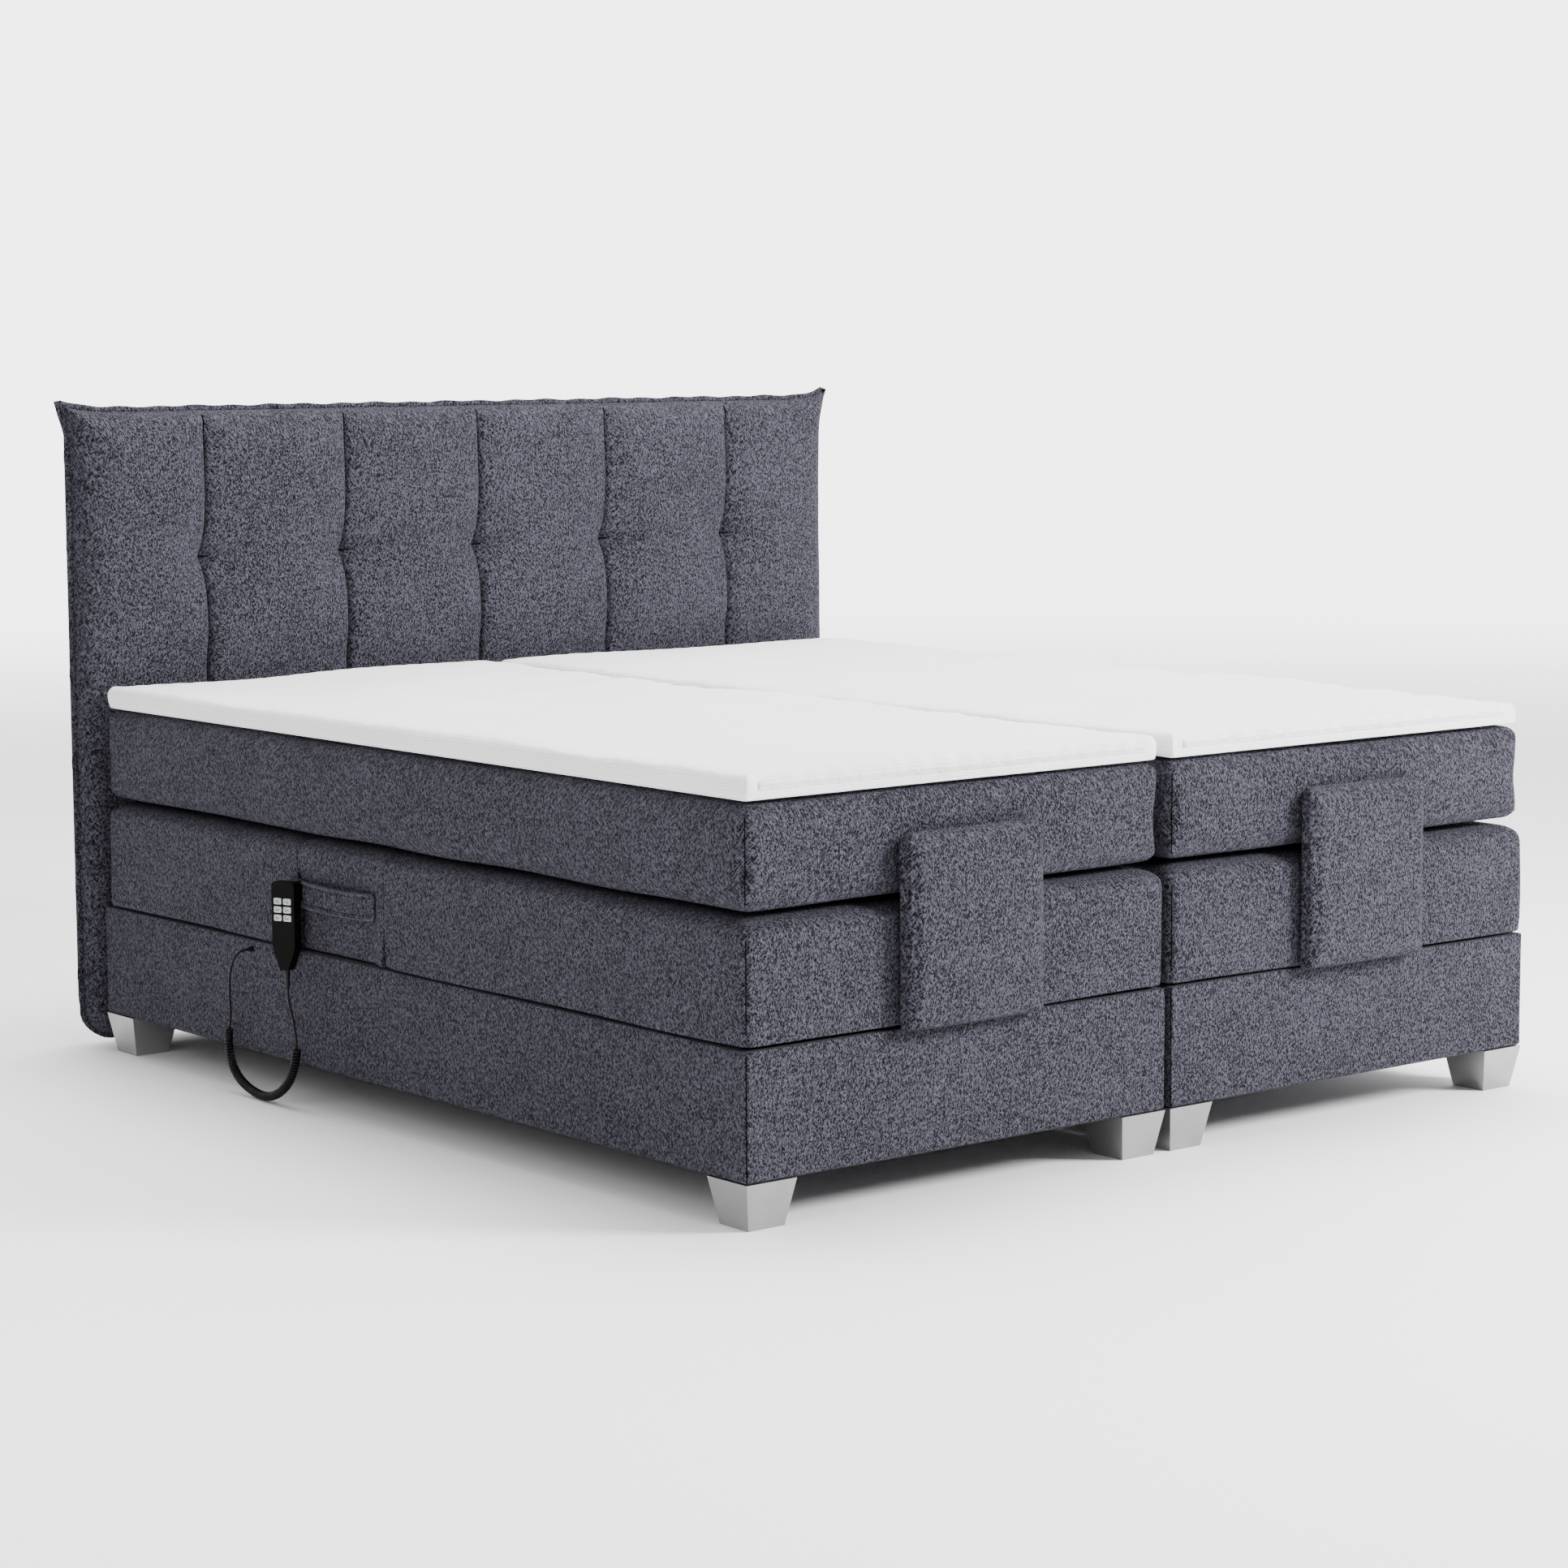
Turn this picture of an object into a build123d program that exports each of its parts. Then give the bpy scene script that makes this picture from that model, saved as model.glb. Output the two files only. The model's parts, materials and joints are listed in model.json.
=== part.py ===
from build123d import *
from math import asin, cos, degrees, pi, radians, sin, tan
import os

# Adjustable box-spring bed: two electric bases side by side, each with a fixed lower box
# and an upholstered deck in four sections (back, seat, thigh, calf), a mattress and a
# topper each, one headboard, and a wired handset hung on the side of the left base.
# Millimetres. +Z is up, +Y is towards the headboard, +X is to the right of someone who
# stands at the foot end. The origin is on the floor under the middle of the whole bed.

# ---- driving dimensions ----
bed_length = 2000.0
base_width = 900.0
base_gap = 12.0

foot_height = 76.0
foot_top_size = 100.0
foot_bottom_size = 72.0

box_height = 208.0
board_thickness = 18.0
bottom_thickness = 6.0
cover_thickness = 3.0
cover_corner_radius = 5.0

deck_height = 206.0
deck_lift_gap = 1.5
deck_head_setback = 15.0
deck_head_radius = 25.0
seat_side_recess = 3.0

back_length = 710.0
seat_length = 280.0
thigh_length = 400.0
joint_gap = 5.0
knee_mitre_angle = 22.5

barrel_below_deck_top = 0.3
hinge_pin_radius = 3.0
hinge_pin_clearance = 0.06
knuckle_radius = 4.5
knuckle_count = 8
knuckle_clearance = 0.5
hinge_end_inset = 90.0
leaf_thickness = 3.0
leaf_width = 38.0
leaf_clearance = 0.7
rabbet_margin = 4.0

mattress_side_inset = 7.5
mattress_height = 178.0
mattress_foot_setback = 10.0
mattress_head_setback = 14.0
mattress_joint_gap = 1.0

topper_side_inset = 8.0
topper_height = 42.0
topper_head_setback = 12.0

pad_width = 300.0
pad_height = 320.0
pad_thickness = 30.0
pad_top_radius = 22.0
pad_bottom_radius = 6.0
pad_below_deck = 5.5
bracket_thickness = 5.0
bracket_width = 220.0
bracket_bottom_inset = 30.0
bracket_top_inset = 36.0
bracket_corner_radius = 15.0

headboard_gap = 12.0
headboard_overhang = 22.0
headboard_ear_overhang = 45.0
headboard_bottom = 20.0
headboard_top = 1238.0
headboard_ear_top = 1256.0
headboard_ear_length = 70.0
headboard_bottom_radius = 60.0
headboard_cushion_thickness = 68.0
headboard_panel_thickness = 20.0
headboard_panel_inset = 14.0
spacer_radius = 15.0
spacer_above_box_bottom = 104.0
spacer_side_inset = 150.0

connector_length = 60.0
connector_height = 40.0
connector_inset = 260.0

rail_width = 25.0
rail_height = 40.0
rail_side_inset = 70.0
rail_below_box_top = 4.0
cross_tube_size = 20.0
tie_tube_inset = 60.0
tube_radius = 15.0
tube_bore_clearance = 0.08
tube_overhang = 6.0
bearing_thickness = 8.0
bearing_half_width = 28.0
bearing_below_axis = 26.0
shaft_below_rail = 50.0
back_shaft_offset = 80.0
leg_shaft_offset = 40.0
back_arm_length = 400.0
leg_arm_length = 200.0
arm_thickness = 8.0
arm_half_width = 16.0
arm_rail_spacing = 130.0
roller_radius = 25.0
roller_width = 30.0
roller_gap = 1.0
motor_width = 170.0
motor_height = 104.0
motor_end_clearance = 6.0
motor_corner_radius = 12.0

strap_height = 50.0
strap_foot_gap = 31.0
strap_thickness = 3.0
strap_above_box = 81.0
strap_end_gap = 5.0

handset_width = 50.0
handset_height = 160.0
handset_thickness = 20.0
handset_wall = 2.5
handset_face_thickness = 3.0
handset_tail_width = 17.0
handset_tail_height = 40.0
handset_corner_radius = 8.0
handset_shoulder_radius = 60.0
handset_tail_radius = 4.0
handset_stand_off = 25.0
handset_before_joint = 0.5
handset_below_strap = 33.0
handset_turn = 21.0
hook_width = 12.0
hook_height = 36.0
hook_depth = 8.0
hook_inset = 2.5

button_width = 16.0
button_height = 11.0
button_pitch_x = 21.0
button_pitch_y = 15.0
button_top_offset = 35.0
button_proud = 2.0
button_clearance = 0.3
button_flange = 1.5
button_flange_thickness = 1.0
button_flange_gap = 0.1
button_corner_radius = 2.0

cord_diameter = 4.5
coil_diameter = 17.0
boot_length = 35.0
boot_top_radius = 5.4
gland_length = 10.0
gland_radius = 6.0
gland_tip_radius = 3.4
gland_below_box_top = 16.0
gland_y = 418.0

# ---- worked-out places ----
box_bottom = foot_height
box_top = foot_height + box_height
deck_top = box_top + deck_height
deck_bottom = box_top + deck_lift_gap
axis_z = deck_top - barrel_below_deck_top - knuckle_radius
hinge_length = base_width - 2 * hinge_end_inset
mattress_width = base_width - 2 * mattress_side_inset
topper_width = base_width - 2 * topper_side_inset
mattress_top = deck_top + mattress_height
topper_top = mattress_top + topper_height

pad_reach = bracket_thickness + pad_thickness
headboard_thickness = headboard_cushion_thickness + headboard_panel_thickness
overall_depth = pad_reach + bed_length + headboard_gap + headboard_thickness
foot_y = pad_reach - overall_depth / 2
head_y = foot_y + bed_length
back_joint_y = head_y - back_length
thigh_joint_y = back_joint_y - seat_length
knee_y = thigh_joint_y - thigh_length
base_center_x = (base_width + base_gap) / 2
outer_x = base_center_x + base_width / 2
headboard_half_width = outer_x + headboard_overhang
headboard_ear_half_width = outer_x + headboard_ear_overhang
headboard_front = head_y + headboard_gap
half_gap = joint_gap / 2

SIDES = (("left", -base_center_x), ("right", base_center_x))

os.makedirs("parts", exist_ok=True)


def save(part, name):
    """Label one finished piece and write its STEP file."""
    part.label = name
    export_step(part, f"parts/{name}.step")


def save_group(solids, name):
    """Write several touching but separate solids as one node."""
    group = Compound(children=solids)
    save(group, name)


def block(x_low, x_high, y_low, y_high, z_low, z_high):
    """A plain block between two corners."""
    middle = ((x_low + x_high) / 2, (y_low + y_high) / 2, (z_low + z_high) / 2)
    with BuildPart() as made:
        with Locations(middle):
            Box(x_high - x_low, y_high - y_low, z_high - z_low)
    return made.part


def rod(radius, x_low, x_high, y, z):
    """A round bar along X."""
    with BuildPart() as made:
        with BuildSketch(Plane.YZ.offset(x_low)):
            with Locations((y, z)):
                Circle(radius)
        extrude(amount=x_high - x_low)
    return made.part


# ---- feet: tapered square feet, flush with the box corners ----
def foot(x, y):
    with BuildPart() as made:
        with BuildSketch(Plane.XY):
            with Locations((x, y)):
                Rectangle(foot_bottom_size, foot_bottom_size)
        with BuildSketch(Plane.XY.offset(foot_height)):
            with Locations((x, y)):
                Rectangle(foot_top_size, foot_top_size)
        loft()
    return made.part


foot_inset = foot_top_size / 2
feet = []
for side, center_x in SIDES:
    for x_sign in (-1, 1):
        for y in (foot_y + foot_inset, head_y - foot_inset):
            feet.append(foot(center_x + x_sign * (base_width / 2 - foot_inset), y))
save_group(feet, "feet")


# ---- lower box: boards, upholstery cover and steel frame ----
def box_frame(center_x):
    half_x = base_width / 2 - cover_thickness
    low_y = foot_y + cover_thickness
    high_y = head_y - cover_thickness
    low_z = box_bottom + cover_thickness
    inner_x = half_x - board_thickness
    boards = []
    for sign in (-1, 1):
        sides = sorted((center_x + sign * half_x, center_x + sign * inner_x))
        boards.append(block(*sides, low_y, high_y, low_z, box_top))
    for edge in (low_y, high_y - board_thickness):
        boards.append(
            block(center_x - inner_x, center_x + inner_x, edge, edge + board_thickness, low_z, box_top)
        )
    boards.append(
        block(
            center_x - inner_x,
            center_x + inner_x,
            low_y + board_thickness,
            high_y - board_thickness,
            low_z,
            low_z + bottom_thickness,
        )
    )
    return boards


def box_cover(center_x):
    with BuildPart() as cover:
        with Locations((center_x, (foot_y + head_y) / 2, (box_bottom + box_top) / 2)):
            Box(base_width, bed_length, box_height)
        fillet(cover.edges().filter_by(Axis.Z), cover_corner_radius)
        with Locations((center_x, (foot_y + head_y) / 2, (box_bottom + box_top + cover_thickness) / 2)):
            Box(
                base_width - 2 * cover_thickness,
                bed_length - 2 * cover_thickness,
                box_height - cover_thickness,
                mode=Mode.SUBTRACT,
            )
    return cover.part


back_shaft_y = back_joint_y + back_shaft_offset
leg_shaft_y = thigh_joint_y - leg_shaft_offset
rail_top = box_top - rail_below_box_top
rail_bottom = rail_top - rail_height
inner_foot_y = foot_y + cover_thickness + board_thickness
inner_head_y = head_y - cover_thickness - board_thickness
shaft_height = rail_bottom - shaft_below_rail
rail_half_spacing = base_width / 2 - rail_side_inset
rail_inner_x = rail_half_spacing - rail_width / 2
arm_offset = rail_half_spacing - arm_rail_spacing
motor_low_y = leg_shaft_y + tube_radius + motor_end_clearance
motor_high_y = back_shaft_y - tube_radius - motor_end_clearance


def bearing(x_middle, y):
    """A plate under a rail with the bore that a torsion tube turns in."""
    with BuildPart() as plate:
        with BuildSketch(Plane.YZ.offset(x_middle - bearing_thickness / 2)):
            with BuildLine():
                low = shaft_height - bearing_below_axis
                Polyline(
                    (y - bearing_half_width, rail_bottom),
                    (y - bearing_half_width, shaft_height),
                    (y - bearing_half_width / 2, low),
                    (y + bearing_half_width / 2, low),
                    (y + bearing_half_width, shaft_height),
                    (y + bearing_half_width, rail_bottom),
                    close=True,
                )
            make_face()
            with Locations((y, shaft_height)):
                Circle(tube_radius + tube_bore_clearance, mode=Mode.SUBTRACT)
        extrude(amount=bearing_thickness)
    return plate.part


def steel_frame(center_x):
    solids = []
    for sign in (-1, 1):
        rail_x = center_x + sign * rail_half_spacing
        solids.append(
            block(
                rail_x - rail_width / 2,
                rail_x + rail_width / 2,
                inner_foot_y,
                inner_head_y,
                rail_bottom,
                rail_top,
            )
        )
        for y in (back_shaft_y, leg_shaft_y):
            solids.append(bearing(rail_x, y))
    ties = (
        inner_foot_y + tie_tube_inset,
        motor_low_y + tie_tube_inset,
        motor_high_y - tie_tube_inset,
        inner_head_y - tie_tube_inset,
    )
    for y in ties:
        solids.append(
            block(
                center_x - rail_inner_x,
                center_x + rail_inner_x,
                y - cross_tube_size / 2,
                y + cross_tube_size / 2,
                rail_bottom,
                rail_bottom + cross_tube_size,
            )
        )
    return solids


def motor(center_x):
    """Twin drive between the two torsion tubes, hung under the cross tubes."""
    with BuildPart() as housing:
        with Locations((center_x, (motor_low_y + motor_high_y) / 2, rail_bottom - motor_height / 2)):
            Box(motor_width, motor_high_y - motor_low_y, motor_height)
        fillet(housing.edges().filter_by(Axis.Y), motor_corner_radius)
        bottom = housing.faces().sort_by(Axis.Z)[0]
        with BuildSketch(bottom):
            with GridLocations(motor_width / 2, motor_width, 1, 2):
                Circle(motor_width / 5)
        extrude(amount=motor_corner_radius)
    return housing.part


# ---- lift shafts: torsion tube, two arms and two rollers under the deck ----
roller_z = deck_bottom - roller_gap - roller_radius
tube_half_length = rail_half_spacing + bearing_thickness / 2 + tube_overhang


def lift_shaft(center_x, shaft_y, arm_length, direction):
    """A torsion tube with arms that point along +Y (direction 1) or -Y (direction -1)."""
    arm_angle = asin((roller_z - shaft_height) / arm_length)
    roller_y = shaft_y + direction * arm_length * cos(arm_angle)
    with BuildPart() as tube:
        add(rod(tube_radius, center_x - tube_half_length, center_x + tube_half_length, shaft_y, shaft_height))
        for sign in (-1, 1):
            arm_x = center_x + sign * arm_offset - arm_thickness / 2
            with BuildSketch(Plane.YZ.offset(arm_x)):
                with Locations(Location((shaft_y, shaft_height), direction * degrees(arm_angle))):
                    with Locations((direction * arm_length / 2, 0)):
                        SlotCenterToCenter(arm_length, 2 * arm_half_width)
            extrude(amount=arm_thickness)
    solids = [tube.part]
    for sign in (-1, 1):
        inner = center_x + sign * (arm_offset + arm_thickness / 2)
        outer = inner + sign * roller_width
        solids.append(rod(roller_radius, min(inner, outer), max(inner, outer), roller_y, roller_z))
    return solids


for side, center_x in SIDES:
    save_group(box_frame(center_x), f"{side}_box_frame")
    save(box_cover(center_x), f"{side}_box_cover")
    save_group(steel_frame(center_x), f"{side}_steel_frame")
    save(motor(center_x), f"{side}_motor")
    save_group(lift_shaft(center_x, back_shaft_y, back_arm_length, 1), f"{side}_back_lift")
    save_group(lift_shaft(center_x, leg_shaft_y, leg_arm_length, -1), f"{side}_leg_lift")


# ---- hinges: leaves with interleaved knuckles, the pin fixed in the parent's leaf ----
knuckle_pitch = hinge_length / knuckle_count
leaf_start = knuckle_radius + leaf_clearance
leaf_end = leaf_start + leaf_width


def hinge_leaf(center_x, axis_y, direction, parity, has_pin):
    """One leaf beside a hinge axis, on its +Y side (direction 1) or its -Y side (-1)."""
    low_x = center_x - hinge_length / 2
    edges = sorted((axis_y + direction * leaf_start, axis_y + direction * leaf_end))
    low_z = axis_z - leaf_thickness / 2
    bore_radius = hinge_pin_radius + (0 if has_pin else hinge_pin_clearance)
    with BuildPart() as leaf:
        add(block(low_x, low_x + hinge_length, *edges, low_z, low_z + leaf_thickness))
        for k in range(parity, knuckle_count, 2):
            start = low_x + k * knuckle_pitch + knuckle_clearance / 2
            end = start + knuckle_pitch - knuckle_clearance
            add(rod(knuckle_radius, start, end, axis_y, axis_z))
            tab = sorted((axis_y, axis_y + direction * (leaf_start + 1)))
            add(block(start, end, *tab, low_z, low_z + leaf_thickness))
            if not has_pin:
                with BuildSketch(Plane.YZ.offset(start)):
                    with Locations((axis_y, axis_z)):
                        Circle(bore_radius)
                extrude(amount=end - start, mode=Mode.SUBTRACT)
        if has_pin:
            add(rod(hinge_pin_radius, low_x, low_x + hinge_length, axis_y, axis_z))
    return leaf.part


seat_leaves = []
for side, center_x in SIDES:
    seat_leaves.append(hinge_leaf(center_x, back_joint_y, -1, 0, True))
    seat_leaves.append(hinge_leaf(center_x, thigh_joint_y, 1, 0, True))
    save(hinge_leaf(center_x, back_joint_y, 1, 1, False), f"{side}_back_hinge_leaf")
    hip_leaf = hinge_leaf(center_x, thigh_joint_y, -1, 1, False)
    knee_leaf = hinge_leaf(center_x, knee_y, 1, 0, True)
    save_group([hip_leaf, knee_leaf], f"{side}_thigh_hinge_leaves")
    save(hinge_leaf(center_x, knee_y, -1, 1, False), f"{side}_calf_hinge_leaf")
save_group(seat_leaves, "seat_hinge_leaves")


# ---- deck sections: upholstered boxes that carry the mattress ----
rabbet_depth = knuckle_radius + rabbet_margin
pocket_floor = axis_z - leaf_thickness / 2
knee_mitre = (axis_z - deck_bottom) * tan(radians(knee_mitre_angle))


def deck(center_x, width, low_y, high_y, low_z, hinge_sides, mitre_low=0.0, mitre_high=0.0, head_radius=0.0):
    """A deck section between two ends; hinge_sides lists (hinge axis, direction into this deck)."""
    with BuildPart() as section:
        with BuildSketch(Plane.YZ.offset(center_x - width / 2)):
            with BuildLine():
                Polyline(
                    (low_y + mitre_low, low_z),
                    (high_y - mitre_high, low_z),
                    (high_y, axis_z),
                    (high_y, deck_top),
                    (low_y, deck_top),
                    (low_y, axis_z),
                    close=True,
                )
            make_face()
        extrude(amount=width)
        if head_radius:
            head_edge = section.edges().filter_by(Axis.X).group_by(Axis.Z)[0].sort_by(Axis.Y)[-1]
            fillet(head_edge, head_radius)
        for axis_y, direction in hinge_sides:
            rabbet = sorted((axis_y, axis_y + direction * rabbet_depth))
            add(
                block(center_x - width, center_x + width, *rabbet, axis_z - rabbet_depth, deck_top + 1),
                mode=Mode.SUBTRACT,
            )
            pocket = sorted((axis_y, axis_y + direction * leaf_end))
            half = hinge_length / 2
            add(
                block(center_x - half, center_x + half, *pocket, pocket_floor, deck_top + 1),
                mode=Mode.SUBTRACT,
            )
    return section.part


def mattress(center_x, low_y, high_y):
    """One section of the mattress, with upright joint faces."""
    half = mattress_width / 2
    return block(center_x - half, center_x + half, low_y, high_y, deck_top, mattress_top)


mattress_half_gap = mattress_joint_gap / 2
deck_head_y = head_y - deck_head_setback
mattress_foot_y = foot_y + mattress_foot_setback
mattress_head_y = head_y - mattress_head_setback
for side, center_x in SIDES:
    back_deck = deck(
        center_x,
        base_width,
        back_joint_y + half_gap,
        deck_head_y,
        deck_bottom,
        ((back_joint_y, 1),),
        head_radius=deck_head_radius,
    )
    save(back_deck, f"{side}_back_deck")
    seat_deck = deck(
        center_x,
        base_width - 2 * seat_side_recess,
        thigh_joint_y + half_gap,
        back_joint_y - half_gap,
        box_top,
        ((back_joint_y, -1), (thigh_joint_y, 1)),
    )
    save(seat_deck, f"{side}_seat_deck")
    thigh_deck = deck(
        center_x,
        base_width,
        knee_y + half_gap,
        thigh_joint_y - half_gap,
        deck_bottom,
        ((thigh_joint_y, -1), (knee_y, 1)),
        mitre_low=knee_mitre,
    )
    save(thigh_deck, f"{side}_thigh_deck")
    calf_deck = deck(
        center_x,
        base_width,
        foot_y,
        knee_y - half_gap,
        deck_bottom,
        ((knee_y, -1),),
        mitre_high=knee_mitre,
    )
    save(calf_deck, f"{side}_calf_deck")

    save(mattress(center_x, back_joint_y + mattress_half_gap, mattress_head_y), f"{side}_back_mattress")
    save(
        mattress(center_x, thigh_joint_y + mattress_half_gap, back_joint_y - mattress_half_gap),
        f"{side}_seat_mattress",
    )
    save(
        mattress(center_x, knee_y + mattress_half_gap, thigh_joint_y - mattress_half_gap),
        f"{side}_thigh_mattress",
    )
    save(mattress(center_x, mattress_foot_y, knee_y - mattress_half_gap), f"{side}_calf_mattress")

    topper = block(
        center_x - topper_width / 2,
        center_x + topper_width / 2,
        mattress_foot_y,
        head_y - topper_head_setback,
        mattress_top,
        topper_top,
    )
    save(topper, f"{side}_topper")


# ---- mattress retainers: a padded plate on a steel bracket at the foot end ----
pad_bottom = deck_bottom - pad_below_deck


def retainer_plate(center_x, width, low_z, height, back_y, thickness, top_radius, bottom_radius):
    """An upright plate whose back is at back_y, with its own radius at the top and bottom corners."""
    with BuildPart() as plate:
        with BuildSketch(Plane.XZ.offset(-back_y)):
            with Locations((center_x, low_z + height / 2)):
                face = Rectangle(width, height)
            fillet(face.vertices().group_by(Axis.Z)[-1], top_radius)
            lower = [v for v in face.vertices() if v.Z < low_z + height / 4]
            fillet(lower, bottom_radius)
        extrude(amount=thickness)
    return plate.part


for side, center_x in SIDES:
    save(
        retainer_plate(
            center_x,
            bracket_width,
            pad_bottom + bracket_bottom_inset,
            pad_height - bracket_bottom_inset - bracket_top_inset,
            foot_y,
            bracket_thickness,
            bracket_corner_radius,
            bracket_corner_radius,
        ),
        f"{side}_retainer_bracket",
    )
    save(
        retainer_plate(
            center_x,
            pad_width,
            pad_bottom,
            pad_height,
            foot_y - bracket_thickness,
            pad_thickness,
            pad_top_radius,
            pad_bottom_radius,
        ),
        f"{side}_retainer_pad",
    )


# ---- headboard: padded front with pillow corners on a wooden panel ----
def headboard_outline(inset):
    """Half-outline points, mirrored about the middle, with a pointed ear at each top corner."""
    body = headboard_half_width - inset
    top = headboard_top - inset
    right = [
        (body, headboard_bottom + inset),
        (body, top - headboard_ear_length),
    ]
    if not inset:
        right.append((headboard_ear_half_width, headboard_ear_top))
        right.append((body - headboard_ear_length, top))
    else:
        right.append((body, top))
    left = [(-x, z) for x, z in reversed(right)]
    return right + left


def headboard_layer(back_y, thickness, inset):
    """One layer whose rear face is at back_y, made towards the bed."""
    with BuildPart() as layer:
        with BuildSketch(Plane.XZ.offset(-back_y)):
            with BuildLine():
                Polyline(*headboard_outline(inset), close=True)
            make_face()
        extrude(amount=thickness)
        corners = layer.edges().filter_by(Axis.Y).group_by(Axis.Z)[0]
        fillet(corners, headboard_bottom_radius)
    return layer.part


cushion_back = headboard_front + headboard_cushion_thickness
save(headboard_layer(cushion_back, headboard_cushion_thickness, 0), "headboard_cushion")
save(
    headboard_layer(
        cushion_back + headboard_panel_thickness, headboard_panel_thickness, headboard_panel_inset
    ),
    "headboard_panel",
)

spacers = []
for side, center_x in SIDES:
    for sign in (-1, 1):
        with BuildPart() as spacer:
            with BuildSketch(Plane.XZ.offset(-headboard_front)):
                spacer_x = center_x + sign * (base_width / 2 - spacer_side_inset)
                with Locations((spacer_x, box_bottom + spacer_above_box_bottom)):
                    Circle(spacer_radius)
            extrude(amount=headboard_gap)
        spacers.append(spacer.part)
save_group(spacers, "headboard_spacers")

# ---- connectors: clamped blocks that hold the two lower boxes together ----
connectors = []
for y in (foot_y + connector_inset, head_y - connector_inset):
    connectors.append(
        block(
            -base_gap / 2,
            base_gap / 2,
            y - connector_length / 2,
            y + connector_length / 2,
            box_top - 2 * connector_height,
            box_top - connector_height,
        )
    )
save_group(connectors, "base_connectors")

# ---- handset strap: a fabric band sewn to the side of the left seat section ----
seat_side_x = -(outer_x - seat_side_recess)
strap_high_y = back_joint_y - strap_end_gap
strap_low_y = thigh_joint_y + strap_foot_gap
strap_bottom = box_top + strap_above_box
strap = block(
    seat_side_x - strap_thickness,
    seat_side_x,
    strap_low_y,
    strap_high_y,
    strap_bottom,
    strap_bottom + strap_height,
)
save(strap, "handset_strap")

# ---- handset: two shells, six push buttons and a hook over the strap ----
handset_center = (
    -outer_x - handset_stand_off,
    back_joint_y - handset_before_joint,
    strap_bottom - handset_below_strap,
)
face_x = -cos(radians(handset_turn))
face_y = -sin(radians(handset_turn))
handset_plane = Plane(origin=handset_center, x_dir=(-face_y, face_x, 0), z_dir=(face_x, face_y, 0))
half_depth = handset_thickness / 2


def handset_outline():
    """The handset's front outline: rounded top corners and a tail that curves in to the boot."""
    top = handset_height / 2
    half = handset_width / 2
    tail = handset_tail_width / 2
    shoulder = handset_tail_height - top
    with BuildSketch() as outline:
        with BuildLine():
            Polyline(
                (-half, top),
                (half, top),
                (half, shoulder),
                (tail, -top),
                (-tail, -top),
                (-half, shoulder),
                close=True,
            )
        make_face()
        fillet(outline.vertices().group_by(Axis.Y)[1], radius=handset_shoulder_radius)
        fillet(outline.vertices().group_by(Axis.Y)[-1], radius=handset_corner_radius)
        fillet(outline.vertices().group_by(Axis.Y)[0], radius=handset_tail_radius)
    return outline.sketch


button_rows = (1, 0, -1)
button_columns = (-0.5, 0.5)
first_row_y = handset_height / 2 - button_top_offset
middle_row_y = first_row_y - button_pitch_y
button_places = [
    (column * button_pitch_x, middle_row_y + row * button_pitch_y)
    for row in button_rows
    for column in button_columns
]

with BuildPart() as front_shell:
    with BuildSketch(handset_plane):
        add(handset_outline())
    extrude(amount=half_depth)
    with BuildSketch(handset_plane):
        add(handset_outline())
        offset(amount=-handset_wall, mode=Mode.REPLACE)
    extrude(amount=half_depth - handset_face_thickness, mode=Mode.SUBTRACT)
    with BuildSketch(handset_plane):
        with Locations(*button_places):
            RectangleRounded(
                button_width + 2 * button_clearance,
                button_height + 2 * button_clearance,
                button_corner_radius + button_clearance,
            )
    extrude(amount=half_depth, mode=Mode.SUBTRACT)
save(front_shell.part, "handset_front_shell")

strap_face_x = seat_side_x - strap_thickness
hook_high_y = strap_high_y - hook_inset
hook_top = strap_bottom + strap_height - hook_inset
with BuildPart() as back_shell:
    with BuildSketch(handset_plane):
        add(handset_outline())
    extrude(amount=-half_depth)
    with BuildSketch(handset_plane):
        add(handset_outline())
        offset(amount=-handset_wall, mode=Mode.REPLACE)
    extrude(amount=handset_wall - half_depth, mode=Mode.SUBTRACT)
    add(
        block(
            strap_face_x - hook_depth,
            strap_face_x,
            hook_high_y - hook_width,
            hook_high_y,
            hook_top - hook_height,
            hook_top,
        )
    )
save(back_shell.part, "handset_back_shell")

flange_top = half_depth - handset_face_thickness - button_flange_gap
for number, place in enumerate(button_places, 1):
    with BuildPart() as button:
        with BuildSketch(handset_plane.offset(flange_top - button_flange_thickness)):
            with Locations(place):
                Rectangle(button_width + 2 * button_flange, button_height + 2 * button_flange)
        extrude(amount=button_flange_thickness)
        with BuildSketch(handset_plane.offset(flange_top)):
            with Locations(place):
                RectangleRounded(button_width, button_height, button_corner_radius)
        extrude(amount=half_depth + button_proud - flange_top)
    save(button.part, f"handset_button_{number}")

# ---- handset cord: gland on the lower box, lead, curly part, tail and boot ----
handset_bottom = handset_center[2] - handset_height / 2
boot_tip = (handset_center[0], handset_center[1], handset_bottom - boot_length)
gland_height = box_top - gland_below_box_top
gland_base = (-outer_x, gland_y, gland_height)
gland_tip = (-outer_x - gland_length, gland_y, gland_height)

with BuildPart() as boot:
    with BuildSketch(Plane(origin=boot_tip, z_dir=(0, 0, 1))):
        Circle(cord_diameter / 2 + 0.6)
    with BuildSketch(Plane(origin=(boot_tip[0], boot_tip[1], handset_bottom), z_dir=(0, 0, 1))):
        Circle(boot_top_radius)
    loft()
save(boot.part, "handset_boot")

with BuildPart() as gland:
    with BuildSketch(Plane(origin=gland_base, z_dir=(-1, 0, 0))):
        Circle(gland_radius)
    with BuildSketch(Plane(origin=gland_tip, z_dir=(-1, 0, 0))):
        Circle(gland_tip_radius)
    loft()
save(gland.part, "cord_gland")

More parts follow.
